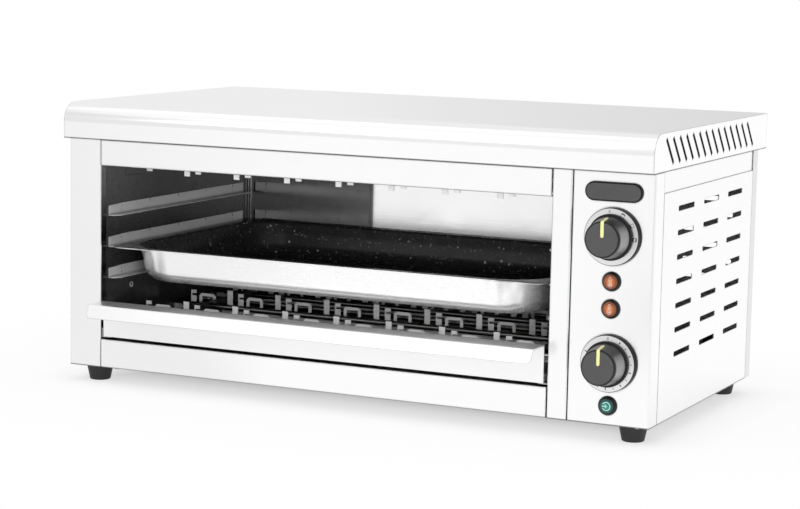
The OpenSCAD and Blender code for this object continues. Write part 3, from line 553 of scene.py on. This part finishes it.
for finish, names in finishes.items():
    for name in names:
        slots = nodes[name].material_slots
        if not slots:
            nodes[name].data.materials.append(finish)
        for s in slots:
            s.material = finish


# ---- Making pieces ------------------------------------------------------------------------


def stand(name, data):
    o = bpy.data.objects.new(name, data)
    bpy.context.scene.collection.objects.link(o)
    return o


def piece(name, bm, finish, body, matrix=None, smooth_below=40.0):
    """A mesh object from bm, shaded smooth except over its sharp edges, riding on a body."""
    bmesh.ops.recalc_face_normals(bm, faces=bm.faces)
    limit = math.radians(smooth_below)
    for f in bm.faces:
        f.smooth = True
    for e in bm.edges:
        e.smooth = len(e.link_faces) == 2 and e.calc_face_angle(0.0) < limit
    mesh = bpy.data.meshes.new(name)
    bm.to_mesh(mesh)
    bm.free()
    for f in finish if isinstance(finish, list) else [finish]:
        mesh.materials.append(f)
    o = stand(name, mesh)
    if matrix is not None:
        o.matrix_world = matrix
    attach(o, body)
    return o


def rings_to_skin(bm, rings, close_ends=True, material_of=None):
    """Joins closed rings of equal length into a skin, with a cap at each end."""
    made = [[bm.verts.new(p) for p in ring] for ring in rings]
    count = len(made[0])
    for k in range(len(made) - 1):
        for j in range(count):
            f = bm.faces.new((made[k][j], made[k][(j + 1) % count], made[k + 1][(j + 1) % count], made[k + 1][j]))
            if material_of:
                f.material_index = material_of(k)
    if close_ends:
        bm.faces.new(made[0])
        bm.faces.new(list(reversed(made[-1])))


def arc(cx, cy, r, degrees):
    """Points on a circle about (cx, cy) at the given angles."""
    return [(cx + r * math.cos(math.radians(a)), cy + r * math.sin(math.radians(a))) for a in degrees]


def turned(profile, segments=96):
    """A mesh turned about its own Z from (radius, height) points in millimetres; radius 0 is a single point."""
    bm = bmesh.new()
    angles = [2 * math.pi * j / segments for j in range(segments)]
    columns = []
    for r, z in profile:
        if r < 1e-6:
            columns.append([bm.verts.new((0, 0, z * mm))] * segments)
        else:
            columns.append([bm.verts.new((r * mm * math.cos(a), r * mm * math.sin(a), z * mm)) for a in angles])
    for a, b in zip(columns, columns[1:]):
        for j in range(segments):
            k = (j + 1) % segments
            corners = []
            for v in (a[j], a[k], b[k], b[j]):
                if v not in corners:
                    corners.append(v)
            if len(corners) > 2:
                bm.faces.new(corners)
    return bm


def on_panel(x, z, y=0.0):
    """Where a piece sits on the control panel: its own z points to the front, its own y up."""
    return Matrix.Translation(at(x, y, z)) @ Matrix.Rotation(math.radians(90), 4, "X")


# Heights in millimetres: a print's underside over its face, and the prints on the dials and the lenses
print_base, dial_print, lens_print = 0.1, 0.06, 0.12


def bar(bm, points, width, thick, closed=False):
    """A flat printed line along (x, y) points in millimetres."""
    pts = [Vector(p) for p in points]
    n = len(pts)
    low, high = print_base * mm, (print_base + thick) * mm
    rings = []
    for k, p in enumerate(pts):
        before = pts[k - 1] if closed or k else p
        after = pts[(k + 1) % n] if closed or k < n - 1 else p
        run = (after - before).normalized()
        side = Vector((-run.y, run.x)) * width / 2
        left, right = (p + side) * mm, (p - side) * mm
        rings.append([(*left, low), (*right, low), (*right, high), (*left, high)])
    if closed:
        rings.append(rings[0])
    rings_to_skin(bm, rings, not closed)
    bmesh.ops.remove_doubles(bm, verts=bm.verts, dist=1e-7)


def middle_of(name):
    """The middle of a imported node, in millimetres from the casing's corner."""
    low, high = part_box(name)
    return ((low + high) / 2 - corner) * 1000


dial_low, dial_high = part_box("selector_dial")
column_x, sel_z, th_z = middle_of("selector_dial").x, middle_of("selector_dial").z, middle_of("thermostat_dial").z
dial_r = (dial_high.x - dial_low.x) * 500
dial_top = (corner.y - dial_low.y) * 1000


def dial_face(name, z):
    """Turned silver face let into the black dial, with a rolled outer edge."""
    r0, r1, sunk, top = 12.0, dial_r - 0.6, -0.2, 0.12
    outline = [(r0, sunk), (r0, top), (r1 - 0.35, top), (r1 - 0.1, 0.06), (r1, -0.05), (r1, sunk), (r0, sunk)]
    return piece(name, turned(outline, 128), dial_silver, "casing", on_panel(column_x, z, -dial_top))


def knob_skin(name, node_name, body, z):
    """Moulded knob: a skirt with a rolled edge, a tapering grip and a slightly dished cap."""
    pts = [(0.0, 19.0), (3.0, 19.0), (3.0, 6.5), (7.0, 6.5), (7.0, 17.0), (19.25, 17.0), (19.25, 6.5)]
    pts += [(23.2, 6.5), (23.6, 6.7), (23.75, 7.1), (23.75, 9.7)]
    pts += arc(22.55, 9.8, 1.2, (30, 60, 90)) + arc(22.45, 11.75, 0.75, (-90, -120, -150, -170))
    pts += [(21.64 - 2.86 * k / 6, 12.0 + 18.55 * k / 6) for k in range(1, 7)]
    pts += arc(17.35, 31.1, 1.4, range(10, 91, 16))
    pts += [(17.1, 32.5), (16.75, 32.42), (16.5, 32.28), (15.5, 32.2), (8.0, 32.1), (0.0, 32.08)]
    o = piece(name, turned(pts, 128), knob_black, body, on_panel(column_x, z))
    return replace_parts(o, node_name)


def pointer_inlay(name, node_name, body, z):
    """Lime insert let into the knob: along the cap, round its edge and down the grip, round-ended."""
    along_cap = (2.0, 2.25, 2.7, 3.3, 4.2, 6.0, 9.0, 12.0, 15.0, 16.9)
    down_grip = (0.0, 2.0, 5.0, 8.0, 11.0, 12.2, 12.9, 13.2)
    half, lean = 1.75, math.radians(8.7)
    c, s = math.cos(lean), math.sin(lean)
    # Each point: its place, the way it faces, and how far it is from the insert's nearer end
    path = [(y, 32.5, 0.0, 1.0, y - along_cap[0]) for y in along_cap]
    for (y, zz), (ny, nz) in zip(arc(17.15, 30.9, 1.6, (75, 60, 45, 30, 15)), arc(0, 0, 1, (75, 60, 45, 30, 15))):
        path.append((y, zz, ny, nz, half))
    path += [(18.75 + d * s, 30.6 - d * c, c, s, down_grip[-1] - d) for d in down_grip]
    right_side = ((1.0, -0.9), (1.0, 0.05), (0.86, 0.2), (0.5, 0.26))
    section = [(-x, h) for x, h in right_side] + list(reversed(right_side))
    rings = []
    for y, zz, ny, nz, to_end in path:
        w = math.sqrt(max(0.02, half * half - (half - min(half, to_end)) ** 2))
        rings.append([(x * w * mm, (y + ny * h) * mm, (zz + nz * h) * mm) for x, h in section])
    bm = bmesh.new()
    rings_to_skin(bm, rings)
    o = piece(name, bm, pointer_lime, body, on_panel(column_x, z))
    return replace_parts(o, node_name)


def polar(r, degrees):
    """A point on a dial, clockwise from the top."""
    a = math.radians(degrees)
    return (r * math.sin(a), r * math.cos(a))


def heater_mark(bm, angle, upper, lower):
    """Small square symbol, its top outwards, with a heavy bar where heat comes from above, below or both."""
    r, s = 25.4, 1.85
    outwards = Vector(polar(1.0, angle))
    across = Vector((outwards.y, -outwards.x))
    middle = Vector(polar(r, angle))

    def spot(a, b):
        return middle + across * a + outwards * b

    box = [spot(-s, -s), spot(s, -s), spot(s, s), spot(-s, s)]
    bar(bm, box + [box[0]], 0.5, dial_print)
    for wanted, b in ((upper, s - 0.3), (lower, 0.3 - s)):
        if wanted:
            bar(bm, [spot(-s, b), spot(s, b)], 1.15, dial_print + 0.01)


def oval(cx, cy, w, h, n=16):
    return [(cx + w * math.cos(2 * math.pi * k / n), cy + h * math.sin(2 * math.pi * k / n)) for k in range(n)]


def off_mark(bm, angle, width):
    bar(bm, oval(*polar(26.1, angle), 0.8, 1.25), width, dial_print, closed=True)


def selector_marks():
    bm = bmesh.new()
    off_mark(bm, -5, 0.42)
    for angle, upper, lower in ((28, True, False), (60, False, True), (93, True, True)):
        heater_mark(bm, angle, upper, lower)
    return piece("selector_marks", bm, print_black, "casing", on_panel(column_x, sel_z, -dial_top))


def thermostat_marks():
    """The off mark and a ring of ticks, every other one long and heavy."""
    tick_r, first_tick, tick_step = 25.9, 30, 19
    bm = bmesh.new()
    off_mark(bm, 0, 0.44)
    for k in range(15):
        a = first_tick + tick_step * k
        length, width = (1.9, 0.65) if k % 2 else (2.6, 0.95)
        bar(bm, [polar(tick_r - length / 2, a), polar(tick_r + length / 2, a)], width, dial_print)
    return piece("thermostat_marks", bm, print_black, "casing", on_panel(column_x, th_z, -dial_top))


dial_face("selector_dial_face", sel_z)
dial_face("thermostat_dial_face", th_z)
selector_marks()
thermostat_marks()
knob_skin("selector_knob_skin", "selector_knob", "selector", sel_z)
knob_skin("thermostat_knob_skin", "thermostat_knob", "thermostat_control", th_z)
pointer_inlay("selector_pointer_inlay", "selector_pointer", "selector", sel_z)
pointer_inlay("thermostat_pointer_inlay", "thermostat_pointer", "thermostat_control", th_z)


def lamp(name, node_name, tint, mark_finish, draw):
    """Lens with a low dome, its edge lapping the bezel, and a printed symbol on it."""
    lens_r, barrel_r, neck_r, seat, step, back = 7.55, 7.4, 6.2, 4.0, 1.2, -4.0
    place = on_panel(column_x, middle_of(node_name).z)

    def dome_z(r):
        return seat + 0.2 + 0.72 * (1 - (r / lens_r) ** 2)

    outline = [(neck_r, back), (neck_r, step), (barrel_r, step), (barrel_r, seat), (lens_r, seat), (lens_r, seat + 0.1)]
    for k in range(11):
        r = (lens_r - 0.08) * (1 - k / 10)
        outline.append((r, dome_z(r)))
    outline += [(0.0, back), (neck_r, back)]
    o = piece(name, turned(outline, 64), tint, "casing", place, 60.0)
    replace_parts(o, node_name)
    bm = bmesh.new()
    draw(bm)
    for v in bm.verts:
        v.co.z += mm * (dome_z(math.hypot(v.co.x, v.co.y) * 1000) - print_base)
    return piece(name + "_symbol", bm, mark_finish, "casing", place, 60.0)


def thermometer(bm):
    outline = arc(0, 3.9, 1.1, [180 - 22.5 * k for k in range(9)])
    outline += arc(0, -3.0, 2.1, [58 - (296 / 14) * k for k in range(15)])
    bar(bm, outline, 0.5, lens_print, closed=True)
    bar(bm, [(0, -2.8), (0, 2.2)], 0.45, lens_print)
    bar(bm, oval(0, -3.0, 0.55, 0.55, 10), 0.8, lens_print, closed=True)


def power_ring(bm):
    bar(bm, arc(0, 0, 4.3, range(150, -151, -15)), 0.85, lens_print)
    bar(bm, [(-4.6, 0.0), (0.4, 0.0)], 0.85, lens_print)
    bar(bm, [(-1.3, 1.7), (0.6, 0.0), (-1.3, -1.7)], 0.75, lens_print)


lamp("upper_heat_glass", "upper_heat_lens", amber_glass, print_amber, thermometer)
lamp("lower_heat_glass", "lower_heat_lens", amber_glass, print_amber, thermometer)
lamp("power_glass", "power_lens", green_glass, print_mint, power_ring)


def badge_face():
    """Bare raised face of the badge, pill-shaped with a softened edge."""
    rim = 2.8
    low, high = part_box("blank_badge")
    length, height = (high.x - low.x) * 1000 - rim, (high.z - low.z) * 1000 - rim
    top, half = (corner.y - low.y) * 1000, (length - height) / 2

    def pill(inset, z):
        ring = []
        for cx, first in ((half, -90), (-half, 90)):
            ring += arc(cx, 0, height / 2 - inset, [first + 180 * k / 16 for k in range(17)])
        return [(x * mm, y * mm, z * mm) for x, y in ring]

    steps = ((0, -0.4), (0, 0.05), (0.15, 0.2), (0.45, 0.28), (1.5, 0.3), (3.5, 0.31))
    bm = bmesh.new()
    rings_to_skin(bm, [pill(inset, top + rise) for inset, rise in steps])
    place = on_panel(column_x, middle_of("blank_badge").z)
    return piece("badge_face", bm, badge_face_grey, "casing", place)


badge_face()


def rounded_ring(base_x, base_y, r, per_corner=9):
    """Rounded rectangle about the tray's middle: corner centres at base_x, base_y and radius r."""
    ring = []
    for cx, cy, a0 in ((1, 1, 0), (-1, 1, 90), (-1, -1, 180), (1, -1, 270)):
        ring += arc(cx * base_x, cy * base_y, r, [a0 + 90 * k / per_corner for k in range(per_corner + 1)])
    return ring


def tray_shell():
    """Deep-drawn tray: coated inside and over its rim, bare outside and along the rim's cut edge."""
    rim_w, bowl_r, draught, foot_r, low_r, rim_r, thick = 11.0, 52.0, 5.0, 18.0, 56.0, 14.0, 1.0
    low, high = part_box("gn_tray")
    mid = middle_of("gn_tray")
    half_w, half_d = (high.x - low.x) * 500, (high.y - low.y) * 500
    rim, floor = (high.z - corner.z) * 1000, (low.z - corner.z) * 1000
    bowl_x, bowl_y = half_w - rim_w - bowl_r, half_d - rim_w - bowl_r
    rim_x, rim_y = half_w - rim_r, half_d - rim_r

    def drawn(base_x, base_y, r, z):
        if base_x == bowl_x and r > 30 and z < rim - 3:
            easing = (low_r - bowl_r) * (1 - (z - floor) / (rim - floor))
            base_x, base_y, r = base_x - easing, base_y - easing, r + easing
        ring = rounded_ring(base_x, base_y, max(r, 0.5))
        return [((mid.x + x) * mm + corner.x, (mid.y + y) * mm + corner.y, z * mm + corner.z) for x, y in ring]

    def wall(inset, bottom, lip, top):
        """Rings of the bowl from its floor to its rim, with a fillet at each end."""
        fillet, top_r = foot_r - inset, bowl_r - inset
        foot, high_z = top_r - draught, top - lip
        rings = [(r, bottom) for r in (0.5, 6, 12, foot - fillet)]
        rings += arc(foot - fillet, bottom + fillet, fillet, range(-78, -11, 11))
        for share in (1 / 3, 2 / 3, 1.0):
            r = foot + draught * share - 0.9 * (1 - share)
            rings.append((r, bottom + fillet + (high_z - bottom - fillet) * share))
        rings += arc(top_r + lip, high_z, lip, (150, 120, 90))
        return [(bowl_x, bowl_y, r, z) for r, z in rings]

    inside = wall(thick, floor + thick, 2.4, rim)
    outside = wall(0.0, floor, 1.2, rim - 1.2)
    over = ((12.6, 0.0), (13.3, 0.0), (13.7, 0.12), (14.0, 0.45), (14.0, 1.0), (13.8, 1.2))
    rings = inside + [(rim_x, rim_y, r, rim - drop) for r, drop in over] + list(reversed(outside))
    coated = len(inside) + 1
    bm = bmesh.new()
    rings_to_skin(bm, [drawn(*r) for r in rings], material_of=lambda k: 0 if k < coated else 1)
    o = piece("tray_shell", bm, [speckled_coat, tray_steel], "tray", smooth_below=50.0)
    for p in o.data.polygons:
        if len(p.vertices) > 4:
            p.material_index = 1 if p.normal.z < 0 else 0
    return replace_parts(o, "gn_tray")


tray_shell()


# ---- Small fasteners and marks of the sheet work ------------------------------------------


def plate(name, low, high, finish):
    """A thin sheet between two corners in millimetres, with its edges rounded off."""
    a, b = at(*low), at(*high)
    size = b - a
    bm = bmesh.new()
    bmesh.ops.create_cube(bm, size=1.0, matrix=Matrix.Translation((a + b) / 2) @ Matrix.Diagonal((*size, 1.0)))
    round_off = min(0.3 * mm, min(size) * 0.4)
    bmesh.ops.bevel(bm, geom=list(bm.edges), offset=round_off, segments=2, affect="EDGES")
    return piece(name, bm, finish, "casing")


def slot_shade_sheets():
    """Dark sheets a little inside the cover's slotted ends, painted shade that makes the slots read black."""
    low, high = ((c - corner) * 1000 for c in (cover_low, cover_high))
    for side, x in (("left", low.x + 2.8), ("right", high.x - 3.3)):
        plate("slot_shade_sheet_" + side, (x, 14, low.z + 3), (x + 0.5, 330, high.z - 3), slot_shade_black)


def wall_fittings():
    """Pressed tabs, a holed boss and the corner beads of the cavity's left wall."""
    wall_x = (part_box("cavity_left_wall")[1].x - corner.x) * 1000
    wall_back_y, bead_r, bead_z, bead_height = 337.0, 0.9, 112, 128.0
    for name, low_z, high_z in (("upper", 215, 223.5), ("lower", 54.5, 77)):
        low, high = (wall_x - 0.1, 52, low_z), (wall_x + 0.7, 84, high_z)
        plate(f"wall_tab_{name}", low, high, left_wall_shade_steel)
    ring = turned([(1.9, -0.2), (1.9, 0.7), (2.3, 1.0), (2.9, 1.0), (3.3, 0.7), (3.3, -0.2), (1.9, -0.2)], 32)
    face_right = Matrix.Translation(at(wall_x, 64, 87.6)) @ Matrix.Rotation(math.radians(90), 4, "Y")
    piece("wall_boss", ring, rail_steel, "casing", face_right)
    for k, x in enumerate((wall_x + 0.9, wall_x + 4.4)):
        bead = turned([(0.0, 0.0), (bead_r, 0.0), (bead_r, bead_height), (0.0, bead_height)], 20)
        foot = Matrix.Translation(at(x, wall_back_y - bead_r, bead_z))
        piece(f"corner_bead_{k}", bead, plated_steel, "casing", foot)


def rivet_heads(name, places):
    """Low domed heads that look down from the casing's lower edge."""
    radius, height = 3.2, 1.6
    dome = [(1.0, 0.25), (0.93, 0.6), (0.7, 0.9), (0.3, 1.0), (0.0, 1.0)]
    profile = [(radius, -0.3)] + [(radius * r, height * h) for r, h in dome]
    bm = bmesh.new()
    for x, y in places:
        head = turned(profile, 20)
        mesh = bpy.data.meshes.new("head")
        head.to_mesh(mesh)
        head.free()
        mesh.transform(Matrix.Translation(at(x, y, 0.0)) @ Matrix.Rotation(math.pi, 4, "X"))
        bm.from_mesh(mesh)
        bpy.data.meshes.remove(mesh)
    return piece(name, bm, plated_steel, "casing")


slot_shade_sheets()
wall_fittings()
rivet_heads("base_rivets", [(x, 6.0) for x in (60, 250, 440, 560, 622, 686)])
rivet_heads("side_rivets_right", [(694, y) for y in (60, 170, 290)])
rivet_heads("side_rivets_left", [(6, y) for y in (60, 170, 290)])


# ---- Floor, light and camera --------------------------------------------------------------


def make_studio_shade():
    """How dim the studio is in a level direction: unlit beside the camera, and a little dimmer at
    the far left and straight behind."""
    g, i, o = effect(
        "studio_shade", {"Direction": (0, 0, 0)}, {"Unlit": "NodeSocketFloat", "Dim": "NodeSocketFloat"}
    )
    flat = vector_maths(g, "NORMALIZE", vector_maths(g, "MULTIPLY", i.outputs["Direction"], (1.0, 1.0, 0.0)))

    def near(azimuth, low, high):
        a = math.radians(azimuth)
        dot = vector_maths(g, "DOT_PRODUCT", flat, (math.sin(a), -math.cos(a), 0.0))
        return remap(g, dot, low, high, 0.0, 1.0)

    wire(g, near(9, 0.989, 0.998), o.inputs["Unlit"])
    left = maths(g, "MULTIPLY", near(-52, 0.92, 0.98), 0.13)
    behind = maths(g, "MULTIPLY", near(-172, 0.94, 0.995), 0.20)
    wire(g, maths(g, "ADD", left, behind), o.inputs["Dim"])
    return g


studio_shade = make_studio_shade()


def dimness(t, direction, level):
    """How much darker than the pale room a mirror shows it; level is where the unlit part counts."""
    shade = use(t, studio_shade, Direction=direction)
    return maths(t, "ADD", product(t, shade["Unlit"], 0.75, level), shade["Dim"], True)


def ray_masks(t):
    """Masks of the rays that come from the camera and of those that come by way of a mirror or glass."""
    rays = t.nodes.new("ShaderNodeLightPath").outputs
    return rays["Is Camera Ray"], maths(t, "MAXIMUM", rays["Is Glossy Ray"], rays["Is Transmission Ray"])


def put_out(t, kind, factor, a, b):
    """Mixes two shaders by a factor and puts the result out."""
    mix = t.nodes.new("ShaderNodeMixShader")
    wire(t, factor, mix.inputs[0])
    t.links.new(a.outputs[0], mix.inputs[1])
    t.links.new(b.outputs[0], mix.inputs[2])
    t.links.new(mix.outputs[0], t.nodes.new(kind).inputs[0])


def studio_floor():
    """Floor that takes the casing's shade under it, with a painted shadow darkening its colour there, and runs out into
    the pale room round it.
    """
    bm = bmesh.new()
    bmesh.ops.create_grid(bm, x_segments=8, y_segments=8, size=40.0)
    mesh = bpy.data.meshes.new("floor")
    bm.to_mesh(mesh)
    bm.free()
    o = stand("floor", mesh)
    m = bpy.data.materials.new("pale_floor")
    m.use_nodes = True
    t = m.node_tree
    t.nodes.clear()
    diffuse = t.nodes.new("ShaderNodeBsdfDiffuse")
    glow = t.nodes.new("ShaderNodeEmission")
    from_camera, mirrored = ray_masks(t)
    place = t.nodes.new("ShaderNodeTexCoord").outputs["Object"]
    middle = (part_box("left_side_panel")[0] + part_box("right_side_panel")[1]) / 2
    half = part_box("right_side_panel")[1] - middle
    offs, beyond = [], []
    for v, m_off, h in zip(xyz(t, place)[:2], middle, half):
        off = maths(t, "SUBTRACT", maths(t, "ABSOLUTE", maths(t, "SUBTRACT", v, m_off)), h)
        over = maths(t, "MAXIMUM", off, 0.0)
        offs.append(off)
        beyond.append(maths(t, "MULTIPLY", over, over))
    away = maths(t, "SQRT", maths(t, "ADD", *beyond))
    under = maths(t, "MAXIMUM", *offs)
    # Painted shadow: the floor's colour is darkened under the casing
    wire(t, blend_colours(t, remap(t, under, -0.14, -0.02, 0.0, 1.0), grey(0.30), grey(0.95)), diffuse.inputs[0])
    rising = maths(t, "ADD", remap(t, away, 0.0, 0.06, 0.0, 0.26), remap(t, away, 0.06, 0.35, 0.0, 0.12))
    far = maths(t, "ADD", remap(t, under, -0.14, 0.0, 0.03, 0.62), rising)
    bright = remap(t, away, 0.0, 0.12, 0.5, 1.0)
    seen = maths(t, "MAXIMUM", maths(t, "MULTIPLY", far, from_camera), maths(t, "MULTIPLY", bright, mirrored))
    dark = maths(t, "MULTIPLY", dimness(t, place, remap(t, away, 0.55, 1.15, 0.0, 1.0)), mirrored)
    wire(t, maths(t, "SUBTRACT", 1.0, dark), glow.inputs["Strength"])
    put_out(t, "ShaderNodeOutputMaterial", seen, diffuse, glow)
    mesh.materials.append(m)


def studio_world():
    """Pale room: white to the camera, a little dimmer in mirrors, and a soft fill for everything else."""
    w = bpy.data.worlds.new("studio")
    bpy.context.scene.world = w
    w.use_nodes = True
    t = w.node_tree
    t.nodes.clear()
    fill, white = t.nodes.new("ShaderNodeBackground"), t.nodes.new("ShaderNodeBackground")
    fill.inputs["Color"].default_value = grey(0.8)
    fill.inputs["Strength"].default_value = 0.62
    white.inputs["Color"].default_value = grey(1.0)
    from_camera, mirrored = ray_masks(t)
    sky = t.nodes.new("ShaderNodeTexCoord").outputs["Generated"]
    dim = dimness(t, sky, remap(t, xyz(t, sky)[2], 0.2, 0.5, 1.0, 0.0))
    least_lost = 0.14
    lost = maths(t, "ADD", maths(t, "MULTIPLY", dim, 1.0 - least_lost), least_lost)
    wire(t, maths(t, "SUBTRACT", 1.0, maths(t, "MULTIPLY", lost, mirrored)), white.inputs["Strength"])
    put_out(t, "ShaderNodeOutputWorld", maths(t, "MAXIMUM", from_camera, mirrored), fill, white)


def soft_box(name, place, aim, width, height, watts, mirrored=False):
    """A soft lamp; where it isn't mirrored, polished metal shows the pale room instead of the lamp."""
    light = bpy.data.lights.new(name, "AREA")
    light.shape = "RECTANGLE"
    light.size, light.size_y, light.energy = width, height, watts
    o = stand(name, light)
    o.visible_glossy = mirrored
    o.location = place
    o.rotation_mode = "QUATERNION"
    o.rotation_quaternion = (Vector(aim) - Vector(place)).to_track_quat("-Z", "Y")


studio_floor()
studio_world()
soft_box("overhead_box", (0.0, -0.3, 2.4), (0.0, 0.0, 0.1), 3.0, 2.4, 18.0)
soft_box("ceiling_sheet", (0.0, -0.9, 2.6), (0.0, -0.2, 0.1), 4.0, 2.4, 7.0, mirrored=True)
soft_box("window_sheet", (-0.93, -1.91, 1.64), (0.0, 0.0, 0.15), 0.9, 1.4, 3.0, mirrored=True)
soft_box("left_box", (-2.4, -1.8, 1.5), (0.0, 0.0, 0.15), 1.8, 1.8, 12.0)
soft_box("front_box", (1.3, -2.0, 0.35), (-0.1, 0.1, 0.10), 1.0, 0.6, 26.0)
soft_box("right_box", (2.5, 1.2, 0.8), (0.0, 0.0, 0.15), 1.0, 1.6, 12.0)

# The photo's camera, fitted to the casing's corners: its lens, its place in millimetres and its turns
camera = bpy.data.cameras.new("camera")
camera.sensor_width, camera.lens = 36.0, 101.8
camera.clip_start, camera.clip_end = 0.05, 120.0
view_place = at(1443.2, -2138.9, 478.3)
turn_round, look_down, roll = math.radians(25.632), math.radians(7.690), math.radians(1.116)
view = stand("camera", camera)
view.matrix_world = (
    Matrix.Translation(view_place)
    @ Matrix.Rotation(turn_round, 4, "Z")
    @ Matrix.Rotation(math.radians(90) - look_down, 4, "X")
    @ Matrix.Rotation(roll, 4, "Z")
)
bpy.context.scene.camera = view
bpy.context.scene.view_settings.view_transform = "Standard"
